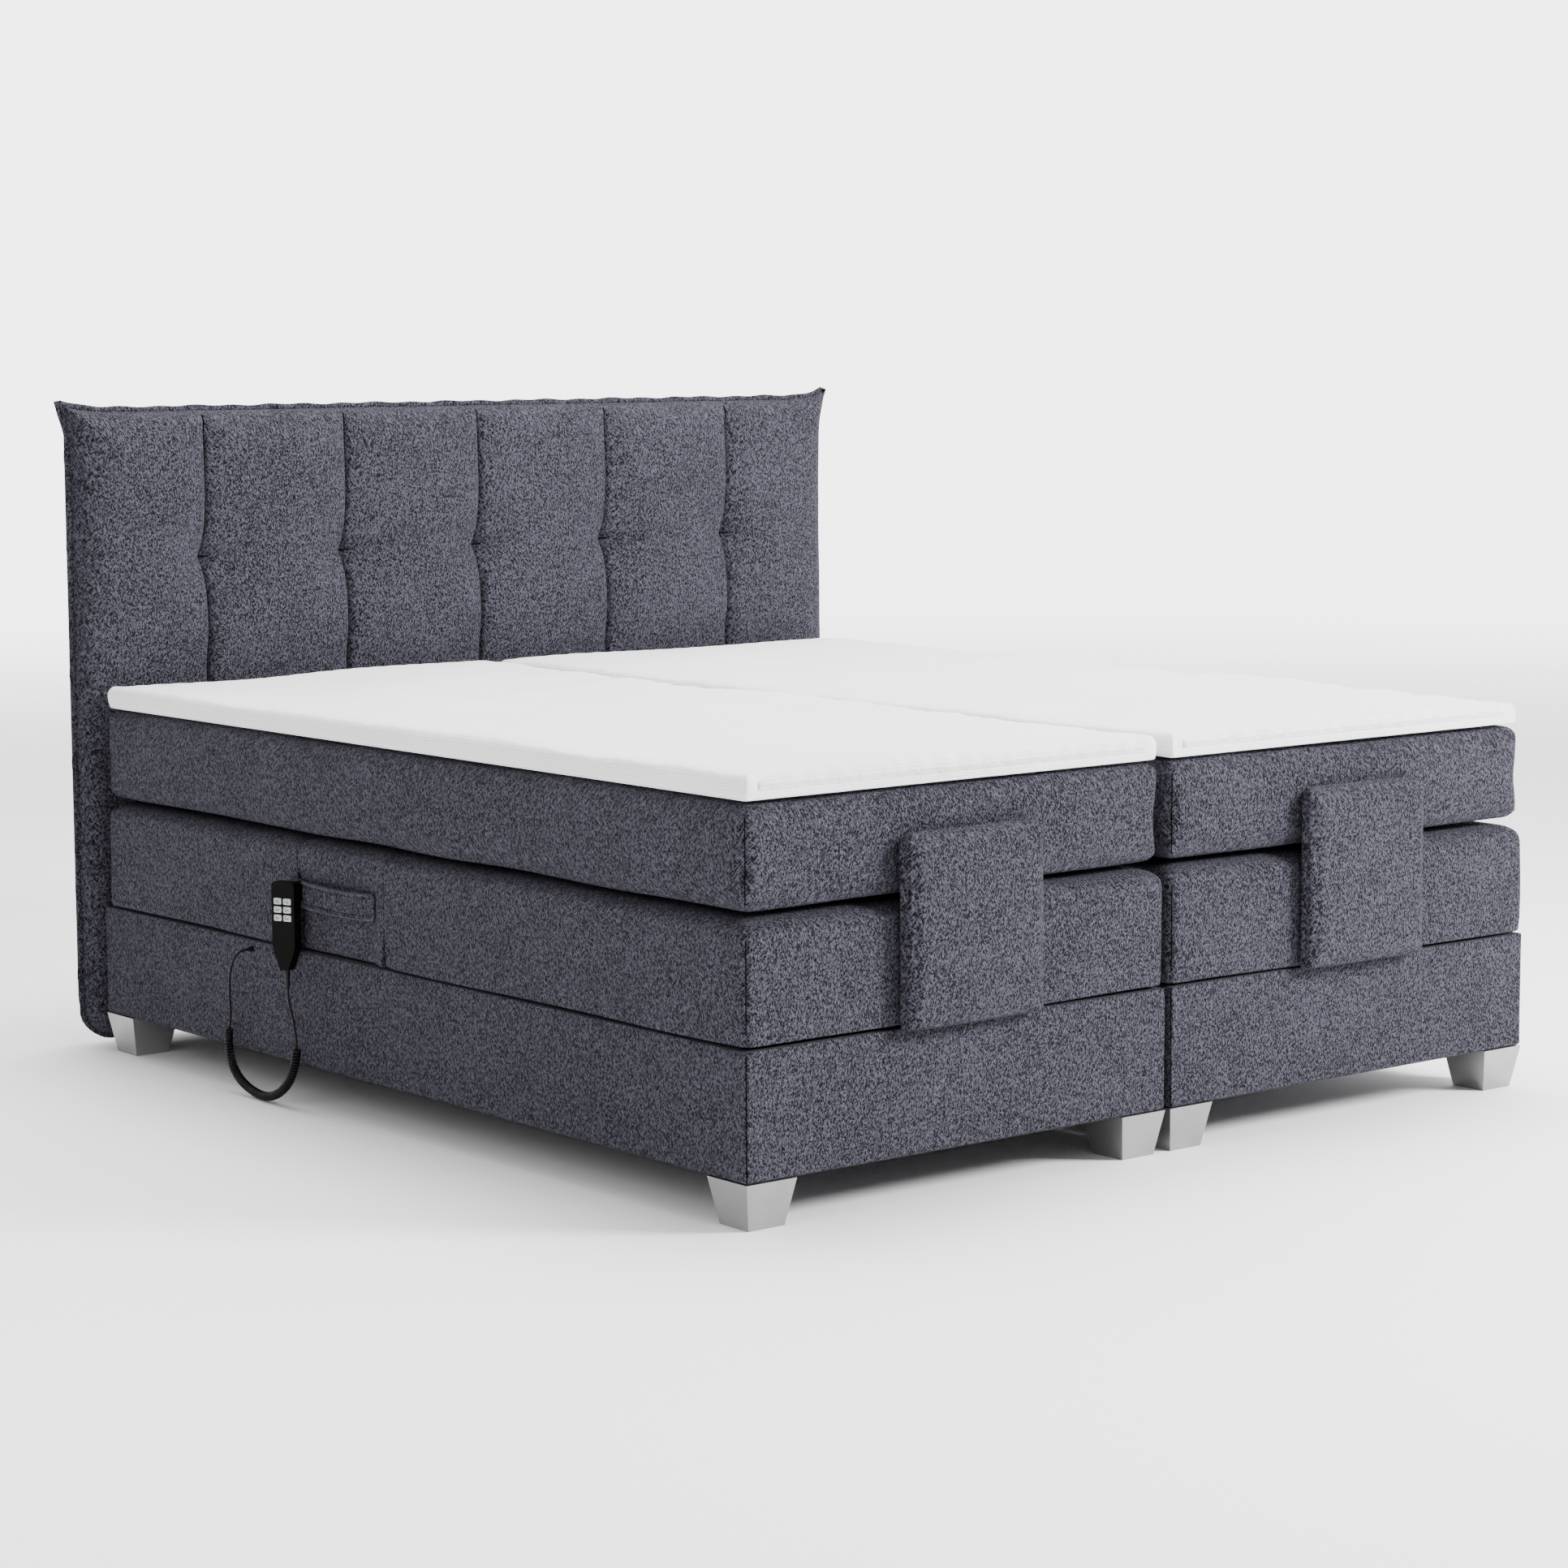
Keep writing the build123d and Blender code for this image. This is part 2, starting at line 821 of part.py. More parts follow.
# The cord's route from the gland to the boot, in runs between hand-chosen points.
lead_points = [
    gland_tip,
    (-933.0, 418.0, 268.0),
    (-944.0, 425.0, 250.0),
    (-943.0, 439.0, 222.0),
    (-936.0, 453.0, 187.0),
    (-932.0, 456.0, 147.0),
]
coil_points = [
    (-932.0, 470.0, 92.0),
    (-933.0, 446.0, 36.0),
    (-934.0, 382.0, 11.0),
    (-935.0, 314.0, 9.5),
    (-934.0, 256.0, 42.0),
    (-933.0, 229.0, 92.0),
]
tail_points = [
    (-932.0, 231.0, 138.0),
    (-931.0, 243.0, 172.0),
    (-931.0, 257.0, 196.0),
    boot_tip,
]


def middle(a, b):
    """The point halfway between two points."""
    return tuple((p + q) / 2 for p, q in zip(a, b))


def cord_radii(points):
    """The largest tangent arc that the two runs at each corner allow."""
    radii = []
    for before, corner, after in zip(points, points[1:], points[2:]):
        run_in = Vector(*corner) - Vector(*before)
        run_out = Vector(*after) - Vector(*corner)
        turn = radians(run_in.get_angle(run_out))
        radii.append(0.45 * min(run_in.length, run_out.length) / tan(turn / 2))
    return radii


def cord_tube(points, diameter, name):
    """A round tube along straight runs and tangent arcs."""
    radii = cord_radii(points)
    with BuildPart() as tube:
        with BuildLine() as route:
            FilletPolyline(*points, radius=radii)
        with BuildSketch(Plane(origin=points[0], z_dir=Vector(*points[1]) - Vector(*points[0]))):
            Circle(diameter / 2)
        sweep()
    length = route.wire().length
    expected = length * pi * diameter**2 / 4
    print(name, "length", round(length, 1), "volume ratio", round(tube.part.volume / expected, 4))
    print(name, "radii", [round(radius, 1) for radius in radii])
    save(tube.part, name)


coil_start = middle(lead_points[-1], coil_points[0])
coil_end = middle(coil_points[-1], tail_points[0])
cord_tube(lead_points + [coil_start], cord_diameter, "cord_lead")
cord_tube([coil_start] + coil_points + [coil_end], coil_diameter, "cord_coil")
cord_tube([coil_end] + tail_points, cord_diameter, "cord_tail")
print("roller height", roller_z, "back shaft", back_shaft_y, "leg shaft", leg_shaft_y)
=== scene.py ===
# %% [markdown]
# # An adjustable box-spring bed
# The imported CAD model gives every place and size. This notebook dresses it: the fabric covers,
# padding, cord and finishes are made here. Most pieces ride on the section that moves them; the
# mattresses, toppers and leg covers are left in place.

# %% Load the frame
import json
import math

import bmesh
import bpy
import numpy as np
from mathutils import Matrix, Vector, noise
from mathutils.bvhtree import BVHTree

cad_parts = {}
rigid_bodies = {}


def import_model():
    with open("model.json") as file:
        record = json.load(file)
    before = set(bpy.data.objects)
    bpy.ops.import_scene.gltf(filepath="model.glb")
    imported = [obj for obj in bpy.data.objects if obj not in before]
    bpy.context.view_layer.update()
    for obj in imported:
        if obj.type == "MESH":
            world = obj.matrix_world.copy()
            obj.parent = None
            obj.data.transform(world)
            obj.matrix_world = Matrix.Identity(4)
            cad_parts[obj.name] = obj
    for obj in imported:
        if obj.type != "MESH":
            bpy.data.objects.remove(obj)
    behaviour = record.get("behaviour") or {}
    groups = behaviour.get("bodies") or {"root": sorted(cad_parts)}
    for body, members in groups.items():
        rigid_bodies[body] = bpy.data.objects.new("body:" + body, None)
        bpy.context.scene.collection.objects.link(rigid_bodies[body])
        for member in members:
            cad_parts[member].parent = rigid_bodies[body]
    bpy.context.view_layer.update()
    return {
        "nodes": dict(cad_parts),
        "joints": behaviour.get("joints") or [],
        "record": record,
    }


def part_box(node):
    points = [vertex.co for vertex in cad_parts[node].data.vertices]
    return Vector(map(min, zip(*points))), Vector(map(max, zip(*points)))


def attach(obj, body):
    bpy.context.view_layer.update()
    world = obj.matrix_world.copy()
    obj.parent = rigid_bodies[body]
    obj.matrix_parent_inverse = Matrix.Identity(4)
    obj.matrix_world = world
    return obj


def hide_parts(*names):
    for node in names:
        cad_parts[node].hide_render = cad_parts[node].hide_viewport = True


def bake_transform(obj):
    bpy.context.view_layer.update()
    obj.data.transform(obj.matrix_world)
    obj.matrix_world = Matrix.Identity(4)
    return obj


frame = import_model()
ROOT = "bed_frame"
SIDES = ("left", "right")

# %% [markdown]
# ## Camera and light
# The bed is seen from its foot end and its left side, from chest height and from far away, so that
# parallel edges stay nearly parallel. A long lens does that. The light is a studio's:
# a large soft key in front on the right, a weaker fill on the left, and one from above.

# %% Camera
CAMERA_PLACE = Vector((-4.4668, -5.5363, 1.3748))
CAMERA_TURN = math.radians(38.933)
CAMERA_DOWN = math.radians(6.715)
CAMERA_ROLL = math.radians(-0.275)
CAMERA_LENS = 87.41


def new_object(name, data):
    """An object at the origin, in the scene."""
    made = bpy.data.objects.new(name, data)
    bpy.context.scene.collection.objects.link(made)
    return made


def aim_camera():
    turn, down = CAMERA_TURN, CAMERA_DOWN
    ahead = Vector((math.sin(turn), math.cos(turn), 0))
    forward = math.cos(down) * ahead - Vector((0, 0, math.sin(down)))
    flat_right = Vector((math.cos(turn), -math.sin(turn), 0))
    flat_up = flat_right.cross(forward)
    right = math.cos(CAMERA_ROLL) * flat_right + math.sin(CAMERA_ROLL) * flat_up
    up = math.cos(CAMERA_ROLL) * flat_up - math.sin(CAMERA_ROLL) * flat_right
    camera_data = bpy.data.cameras.new("studio_camera")
    camera_data.lens = CAMERA_LENS
    camera_data.sensor_width = 36
    camera_data.clip_end = 60
    camera = new_object("studio_camera", camera_data)
    turned = Matrix((right, up, -forward)).transposed().to_4x4()
    camera.matrix_world = Matrix.Translation(CAMERA_PLACE) @ turned
    bpy.context.scene.camera = camera


aim_camera()
print("camera at", tuple(CAMERA_PLACE), "with a", CAMERA_LENS, "mm lens")


# %% Lights and world
def soft_light(name, place, target, size, power):
    data = bpy.data.lights.new(name, "AREA")
    data.shape = "DISK"
    data.size = size
    data.energy = power
    light = new_object(name, data)
    light.location = place
    aim = Vector(target) - Vector(place)
    light.rotation_euler = aim.to_track_quat("-Z", "Y").to_euler()


soft_light("key_light", (3.4, -4.8, 3.2), (0, -0.6, 0.5), 2.0, 900)
soft_light("fill_light", (-5.0, -2.0, 2.6), (-0.6, 0, 0.5), 3.0, 70)
soft_light("top_light", (0.3, 0.2, 4.8), (0, 0, 0.6), 3.0, 330)


BRIGHT_WALL_WAY = (0.62, 0.77, 0.1)
DIM_STRENGTH, BRIGHT_STRENGTH = 0.6, 4.6


def studio_world():
    """A white studio: a bright wall behind the bed on the right, a dimmer room on the left."""
    world = bpy.data.worlds.new("studio_world")
    bpy.context.scene.world = world
    world.use_nodes = True
    nodes, links = world.node_tree.nodes, world.node_tree.links
    direction = nodes.new("ShaderNodeTexCoord")
    facing = nodes.new("ShaderNodeVectorMath")
    facing.operation = "DOT_PRODUCT"
    facing.inputs[1].default_value = BRIGHT_WALL_WAY
    links.new(direction.outputs["Generated"], facing.inputs[0])
    spread = nodes.new("ShaderNodeMapRange")
    spread.interpolation_type = "SMOOTHSTEP"
    ends = {"From Min": 0.0, "From Max": 0.9, "To Min": DIM_STRENGTH, "To Max": BRIGHT_STRENGTH}
    for socket, value in ends.items():
        spread.inputs[socket].default_value = value
    links.new(facing.outputs["Value"], spread.inputs["Value"])
    links.new(spread.outputs["Result"], nodes["Background"].inputs["Strength"])
    nodes["Background"].inputs["Color"].default_value = (1, 1, 1, 1)


studio_world()

# %% [markdown]
# ## Finishes
# The upholstery is a short pile of light and dark fibres, each a few millimetres long. Drawing each
# fibre as geometry would take millions of hairs, so the pile is two streaky noises, laid in two
# directions, which colour the cloth and lift it. The same group makes every piled piece.


# %% Node helpers
def new_material(name, roughness=0.6, metallic=0.0):
    material = bpy.data.materials.new(name)
    material.use_nodes = True
    shader = material.node_tree.nodes["Principled BSDF"]
    shader.inputs["Roughness"].default_value = roughness
    shader.inputs["Metallic"].default_value = metallic
    return material, material.node_tree, shader


def add_node(tree, kind, inputs=None, **settings):
    """A node with its properties set first, because some of them decide which input sockets it has."""
    made = tree.nodes.new(kind)
    for name, value in settings.items():
        setattr(made, name, value)
    for name, value in (inputs or {}).items():
        made.inputs[name].default_value = value
    return made


def colour_steps(tree, factor, steps):
    """A colour ramp from (position, colour) steps."""
    ramp = add_node(tree, "ShaderNodeValToRGB")
    elements = ramp.color_ramp.elements
    while len(elements) < len(steps):
        elements.new(0.5)
    for element, (position, colour) in zip(elements, steps):
        element.position = position
        element.color = (*colour, 1)
    tree.links.new(factor, ramp.inputs["Fac"])
    return ramp.outputs["Color"]


def lift(tree, shader, height, strength, distance):
    """Feeds a height to the shader's normal through a bump node."""
    bump = add_node(tree, "ShaderNodeBump", inputs={"Strength": strength, "Distance": distance})
    tree.links.new(height, bump.inputs["Height"])
    tree.links.new(bump.outputs["Normal"], shader.inputs["Normal"])


def maths(tree, operation, a, b):
    made = add_node(tree, "ShaderNodeMath", operation=operation)
    for socket, value in zip(made.inputs, (a, b)):
        if isinstance(value, (int, float)):
            socket.default_value = value
        else:
            tree.links.new(value, socket)
    return made.outputs[0]


# %% Pile group
FIBRE_MIDDLE = 0.56
FIBRE_CONTRAST = 5.2
CLOUD_DEPTH = 0.35
FIBRE_DIRECTIONS = (0.5, 0.35, 0.6), (-0.6, -0.45, -0.25)


def pile_group():
    """Streaks of fibre in two directions. Inputs are the place, the fibre's width and its length."""
    group = bpy.data.node_groups.new("short_pile", "ShaderNodeTree")
    for name, kind, value in (
        ("Place", "NodeSocketVector", None),
        ("Fineness", "NodeSocketFloat", 420.0),
        ("Fibre stretch", "NodeSocketFloat", 0.3),
        ("Cloud size", "NodeSocketFloat", 7.0),
    ):
        socket = group.interface.new_socket(name, in_out="INPUT", socket_type=kind)
        if value is not None:
            socket.default_value = value
    for name in ("Fibre", "Height"):
        group.interface.new_socket(name, in_out="OUTPUT", socket_type="NodeSocketFloat")
    links = group.links
    source = add_node(group, "NodeGroupInput")
    sink = add_node(group, "NodeGroupOutput")
    streaks = []
    for turn in FIBRE_DIRECTIONS:
        rotate = add_node(
            group, "ShaderNodeVectorRotate", rotation_type="EULER_XYZ", inputs={"Rotation": turn}
        )
        links.new(source.outputs["Place"], rotate.inputs["Vector"])
        stretch = add_node(group, "ShaderNodeCombineXYZ", inputs={"X": 1.0, "Y": 1.0})
        links.new(source.outputs["Fibre stretch"], stretch.inputs["Z"])
        scaled = add_node(group, "ShaderNodeVectorMath", operation="MULTIPLY")
        links.new(rotate.outputs["Vector"], scaled.inputs[0])
        links.new(stretch.outputs["Vector"], scaled.inputs[1])
        settings = {"Detail": 1.0, "Roughness": 0.55, "Distortion": 0.5}
        fibre = add_node(group, "ShaderNodeTexNoise", inputs=settings)
        links.new(scaled.outputs["Vector"], fibre.inputs["Vector"])
        links.new(source.outputs["Fineness"], fibre.inputs["Scale"])
        streaks.append(fibre.outputs["Fac"])
    both = maths(group, "MAXIMUM", streaks[0], streaks[1])
    cloud = add_node(group, "ShaderNodeTexNoise", inputs={"Detail": 3.0, "Roughness": 0.55})
    links.new(source.outputs["Place"], cloud.inputs["Vector"])
    links.new(source.outputs["Cloud size"], cloud.inputs["Scale"])
    sharp = maths(group, "SUBTRACT", both, FIBRE_MIDDLE)
    sharp = maths(group, "MULTIPLY", sharp, FIBRE_CONTRAST)
    sharp = maths(group, "ADD", sharp, 0.5)
    clouded = maths(group, "SUBTRACT", cloud.outputs["Fac"], 0.5)
    clouded = maths(group, "MULTIPLY", clouded, CLOUD_DEPTH)
    links.new(maths(group, "ADD", sharp, clouded), sink.inputs["Fibre"])
    links.new(sharp, sink.inputs["Height"])
    return group


PILE = pile_group()


def pile_material(name, dark, light, fineness=360.0, lift_distance=0.0032):
    material, tree, shader = new_material(name, roughness=0.95)
    shader.inputs["Specular IOR Level"].default_value = 0.12
    shader.inputs["Sheen Weight"].default_value = 0.06
    shader.inputs["Sheen Roughness"].default_value = 0.5
    shader.inputs["Sheen Tint"].default_value = (0.7, 0.72, 0.9, 1)
    place = add_node(tree, "ShaderNodeTexCoord")
    pile = add_node(tree, "ShaderNodeGroup", node_tree=PILE)
    for name, value in (("Fineness", fineness), ("Fibre stretch", 0.27), ("Cloud size", 7.0)):
        pile.inputs[name].default_value = value
    tree.links.new(place.outputs["Object"], pile.inputs["Place"])
    middle = [(a + b) / 2 for a, b in zip(dark, light)]
    colour = colour_steps(tree, pile.outputs["Fibre"], ((0.08, dark), (0.5, middle), (0.95, light)))
    tree.links.new(colour, shader.inputs["Base Color"])
    lift(tree, shader, pile.outputs["Height"], 0.9, lift_distance)
    return material


UPHOLSTERY = pile_material("upholstery_pile", (0.0012, 0.0011, 0.0024), (0.090, 0.0865, 0.114))
print("pile group has", len(PILE.nodes), "nodes")

# %% [markdown]
# The topper's jersey is knitted, with ribs across its top and fine courses round its border. Two
# wave textures draw them, and a value stored on the mesh says how far a point is on the border.


# %% Topper jersey
def jersey_material():
    """Pale knitted jersey: fine ribs across the bed with a soft irregular loft."""
    material, tree, shader = new_material("topper_jersey", roughness=0.9)
    shader.inputs["Specular IOR Level"].default_value = 0.15
    shader.inputs["Sheen Weight"].default_value = 0.15
    place = add_node(tree, "ShaderNodeTexCoord")
    ribs = add_node(
        tree,
        "ShaderNodeTexWave",
        bands_direction="Y",
        inputs={"Scale": 160.0, "Distortion": 1.2, "Detail": 1.0},
    )
    loft = add_node(tree, "ShaderNodeTexNoise", inputs={"Scale": 240.0, "Detail": 2.0})
    cloud = add_node(tree, "ShaderNodeTexNoise", inputs={"Scale": 5.0, "Detail": 3.0})
    courses = add_node(
        tree,
        "ShaderNodeTexWave",
        bands_direction="Z",
        inputs={"Scale": 62.0, "Distortion": 1.6, "Detail": 1.0, "Detail Scale": 0.3},
    )
    for texture in (ribs, loft, cloud, courses):
        tree.links.new(place.outputs["Object"], texture.inputs["Vector"])
    border = add_node(tree, "ShaderNodeAttribute", attribute_name="border")
    ribbing = add_node(tree, "ShaderNodeMix", data_type="FLOAT")
    tree.links.new(border.outputs["Fac"], ribbing.inputs["Factor"])
    tree.links.new(ribs.outputs["Fac"], ribbing.inputs["A"])
    tree.links.new(courses.outputs["Fac"], ribbing.inputs["B"])
    height = maths(tree, "ADD", ribbing.outputs["Result"], loft.outputs["Fac"])
    shade = maths(tree, "MULTIPLY", maths(tree, "ADD", height, cloud.outputs["Fac"]), 0.333)
    colour = colour_steps(tree, shade, ((0.25, (0.78, 0.785, 0.78)), (0.7, (0.95, 0.955, 0.95))))
    tree.links.new(colour, shader.inputs["Base Color"])
    lift(tree, shader, height, 0.5, 0.0009)
    return material


JERSEY = jersey_material()
print("jersey has", len(JERSEY.node_tree.nodes), "nodes")

# %% [markdown]
# Feet, steel, handset, buttons, cord and drives all have a fine grain: moulded, brushed or powder
# coated. One function makes them all, from a colour, a grain size and a depth.


# %% Hard finishes
def grained_material(
    name, colour, roughness, metallic=0.0, grain=900.0, depth=0.00008, stretch=(1, 1, 1), specular=0.5
):
    """A hard finish: moulded grain, brushed metal or powder coat, by its scale and stretch."""
    material, tree, shader = new_material(name, roughness=roughness, metallic=metallic)
    shader.inputs["Specular IOR Level"].default_value = specular
    place = add_node(tree, "ShaderNodeTexCoord")
    mapping = add_node(tree, "ShaderNodeMapping")
    mapping.inputs["Scale"].default_value = stretch
    tree.links.new(place.outputs["Object"], mapping.inputs["Vector"])
    speck = add_node(tree, "ShaderNodeTexNoise", inputs={"Scale": grain, "Detail": 3.0})
    wear = add_node(tree, "ShaderNodeTexNoise", inputs={"Scale": 14.0, "Detail": 4.0})
    tree.links.new(mapping.outputs["Vector"], speck.inputs["Vector"])
    tree.links.new(place.outputs["Object"], wear.inputs["Vector"])
    darker = tuple(0.86 * value for value in colour)
    tree.links.new(
        colour_steps(tree, wear.outputs["Fac"], ((0.3, darker), (0.7, colour))), shader.inputs["Base Color"]
    )
    rough = maths(tree, "MULTIPLY", speck.outputs["Fac"], 0.3 * roughness)
    rough = maths(tree, "ADD", rough, 0.85 * roughness)
    tree.links.new(rough, shader.inputs["Roughness"])
    lift(tree, shader, speck.outputs["Fac"], 0.5, depth)
    return material


# Near-black lining pile: a real lining, and also painted shade where the boards show in seams and gaps.
LINING_AND_GAP_SHADE = pile_material("black_lining_and_gap_shade", (0.010, 0.010, 0.011), (0.035, 0.035, 0.037), 900.0, 0.0003)
# Welt pile: the strap's own cloth made lighter, a painted highlight along its folded edges.
WELT_HIGHLIGHT = pile_material("welt_pile_highlight", (0.010, 0.010, 0.015), (0.120, 0.117, 0.145), 700.0, 0.0008)
BRUSHED = {"grain": 60.0, "depth": 0.00006, "stretch": (14, 14, 1)}
FOOT_SILVER = grained_material("foot_satin_silver", (0.36, 0.36, 0.36), 0.30, metallic=0.9, **BRUSHED)
STEEL = grained_material("powder_coated_steel", (0.022, 0.022, 0.024), 0.5, grain=1400.0, depth=0.0001)
ZINC = grained_material(
    "zinc_plated_steel", (0.55, 0.56, 0.58), 0.35, metallic=1.0, grain=500.0, depth=0.00005
)
HANDSET_BLACK = grained_material(
    "handset_matt_black", (0.003, 0.0033, 0.003), 0.5, grain=2600.0, depth=0.00006, specular=0.05
)
BUTTON_GREY = grained_material("button_rubber_grey", (0.50, 0.51, 0.52), 0.6, grain=2600.0, depth=0.00004)
CORD_BLACK = grained_material(
    "cord_sheath", (0.0035, 0.0035, 0.004), 0.4, grain=1500.0, depth=0.00005, specular=0.16
)
MOTOR_BLACK = grained_material("motor_housing", (0.020, 0.020, 0.022), 0.6, grain=1200.0, depth=0.00012)
# Seam thread: real stitches, made near black so that they also paint the shade in the seam grooves.
THREAD_AND_GROOVE_SHADE = grained_material("seam_thread_and_groove_shade", (0.0012, 0.0012, 0.002), 0.95, depth=0.0001, specular=0.05)
ZIP_WHITE = grained_material("zip_white", (0.62, 0.62, 0.63), 0.45, depth=0.00005)
ICON_BLACK = grained_material("button_print", (0.02, 0.02, 0.022), 0.7, depth=0.00002)
# The boards have a black lining, so no bare wood shows at a seam; it also paints the gaps' shade.
FINISH = {
    "upholstery_fabric": UPHOLSTERY,
    "topper_fabric": JERSEY,
    "wood": LINING_AND_GAP_SHADE,
    "foot_silver": FOOT_SILVER,
    "steel_black": STEEL,
    "zinc_steel": ZINC,
    "handset_black": HANDSET_BLACK,
    "button_grey": BUTTON_GREY,
    "cord_black": CORD_BLACK,
    "motor_black": MOTOR_BLACK,
}


def finish_cad_nodes():
    """Every CAD node gets the finish of its record slot; the ones that stay hard keep it to the end."""
    slot_of = {s["node"]: s["material_slot"] for s in frame["record"]["subparts"]}
    for name, piece in frame["nodes"].items():
        piece.data.materials.clear()
        piece.data.materials.append(FINISH[slot_of[name]])


finish_cad_nodes()
print(len(frame["nodes"]), "CAD nodes given a finish")


# %% [markdown]
# ## Handset cord
# The cord leaves the seam of the lower box through its gland, drops in a short lead, runs through a
# springy curly part that hangs to the floor, and comes up in a short tail to the handset's boot.
# One spline follows the whole route. The curly part is a helix wound round the same route.

# %% Cord route
CORD_DIAMETER = 0.0045
COIL_DIAMETER = 0.017
COIL_PITCH = 0.0054
POINTS_PER_TURN = 14
LEAD_POINTS = [
    (-0.916, 0.418, 0.268),
    (-0.933, 0.418, 0.268),
    (-0.944, 0.425, 0.250),
    (-0.943, 0.439, 0.222),
    (-0.936, 0.453, 0.187),
    (-0.932, 0.456, 0.147),
]
COIL_POINTS = [
    (-0.932, 0.470, 0.092),
    (-0.933, 0.446, 0.036),
    (-0.934, 0.382, 0.011),
    (-0.935, 0.314, 0.0095),
    (-0.934, 0.256, 0.042),
    (-0.933, 0.229, 0.092),
]
TAIL_POINTS = [
    (-0.932, 0.231, 0.138),
    (-0.931, 0.243, 0.172),
    (-0.931, 0.257, 0.196),
    (-0.931, 0.257, 0.217),
]


def open_spline(name, points, bevel=0.0):
    """A curve of one smooth open spline whose control points are given."""
    curve = bpy.data.curves.new(name, "CURVE")
    curve.dimensions = "3D"
    curve.resolution_u = 4 if bevel else 24
    curve.bevel_depth = bevel
    curve.bevel_resolution = 2
    curve.use_fill_caps = True
    spline = curve.splines.new("NURBS")
    spline.points.add(len(points) - 1)
    for point, place in zip(spline.points, points):
        point.co = (*place, 1)
    spline.order_u = 3
    spline.use_endpoint_u = True
    return new_object(name, curve)


def spline_line(points):
    """Evenly spaced points along the smooth line that a route's spline takes."""
    route = open_spline("route", points)
    mesh = bpy.data.meshes.new_from_object(route)
    line = np.array([v.co for v in mesh.vertices])
    bpy.data.meshes.remove(mesh)
    bpy.data.curves.remove(route.data)
    run = np.concatenate([[0], np.cumsum(np.linalg.norm(np.diff(line, axis=0), axis=1))])
    return line, run


def middle(a, b):
    return tuple((p + q) / 2 for p, q in zip(a, b))


def curly_points():
    """Helix points round the route between the two ends of the curly part."""
    line, run = spline_line(LEAD_POINTS + COIL_POINTS + TAIL_POINTS)
    coil_start = np.array(middle(LEAD_POINTS[-1], COIL_POINTS[0]))
    coil_end = np.array(middle(COIL_POINTS[-1], TAIL_POINTS[0]))
    start = run[np.argmin(np.linalg.norm(line - coil_start, axis=1))]
    end = run[np.argmin(np.linalg.norm(line - coil_end, axis=1))]
    turns = int((end - start) / COIL_PITCH)
    count = turns * POINTS_PER_TURN
    radius = (COIL_DIAMETER - CORD_DIAMETER) / 2
    points = []
    across = Vector((1, 0, 0))
    for k in range(count + 1):
        along = start + (end - start) * k / count
        here = Vector([np.interp(along, run, line[:, axis]) for axis in range(3)])
        ahead = Vector([np.interp(along + 0.002, run, line[:, axis]) for axis in range(3)])
        heading = (ahead - here).normalized()
        across = (across - across.dot(heading) * heading).normalized()
        beside = heading.cross(across)
        grown = min(1, k / POINTS_PER_TURN, (count - k) / POINTS_PER_TURN)
        swing = radius * (0.15 + 0.85 * grown)
        angle = 2 * math.pi * k / POINTS_PER_TURN
        points.append(tuple(here + swing * (math.cos(angle) * across + math.sin(angle) * beside)))
    return points, turns


helix, turn_count = curly_points()
handset_cord = open_spline("handset_cord", LEAD_POINTS + helix + TAIL_POINTS, CORD_DIAMETER / 2)
handset_cord.data.resolution_u = 2
handset_cord.data.materials.append(CORD_BLACK)
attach(handset_cord, ROOT)
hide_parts("cord_lead", "cord_coil", "cord_tail")
print("curly part has", turn_count, "turns")

# %% [markdown]
# ## Soft blocks
# Mattresses, toppers, deck sections and retainer pads are all stuffed boxes. Each starts as a closed
# grid whose edges are rounded by pushing points in from the corner, because a grid keeps its faces
# even. Cloth simulation with air pressure fills the mattresses, toppers, pads and headboard, and a
# cap keeps them near their CAD size. Covers stretched over boards are only rounded and rippled.


# %% Grid block
def stations(low, high, spacing, near, far):
    """Places along one side, closer together in the rounded stretch at each end."""
    shares = (0.0, 0.16, 0.38, 0.66)
    count = max(2, round((high - low - near - far) / spacing))
    inner = np.linspace(low + near, high - far, count + 1)
    first = [low + near * share for share in shares]
    last = [high - far * share for share in reversed(shares)]
    return np.concatenate([first, inner, last])


def mesh_piece(name, points, faces, material):
    mesh = bpy.data.meshes.new(name)
    mesh.from_pydata([tuple(p) for p in points], [], faces)
    mesh.materials.append(material)
    mesh.polygons.foreach_set("use_smooth", [True] * len(mesh.polygons))
    return new_object(name, mesh)


def closed_grid(xs, ys, zs):
    """Points and outward faces of a box's six sides on shared grid places."""
    index, points, faces = {}, [], []
    last = (len(xs) - 1, len(ys) - 1, len(zs) - 1)

    def at(i, j, k):
        if (i, j, k) not in index:
            index[i, j, k] = len(points)
            points.append((xs[i], ys[j], zs[k]))
        return index[i, j, k]

    around = ((0, 0), (0, 1), (1, 1), (1, 0))
    other_way = ((0, 0), (1, 0), (1, 1), (0, 1))
    for level, first, second in ((2, 0, 1), (1, 0, 2), (0, 1, 2)):
        for a in range(last[first]):
            for b in range(last[second]):
                for end in (0, 1):
                    corner = [0, 0, 0]
                    corner[level] = end * last[level]
                    face = []
                    for p, q in around if end == (level == 1) else other_way:
                        corner[first], corner[second] = a + p, b + q
                        face.append(at(*corner))
                    faces.append(tuple(face))
    return np.array(points), faces


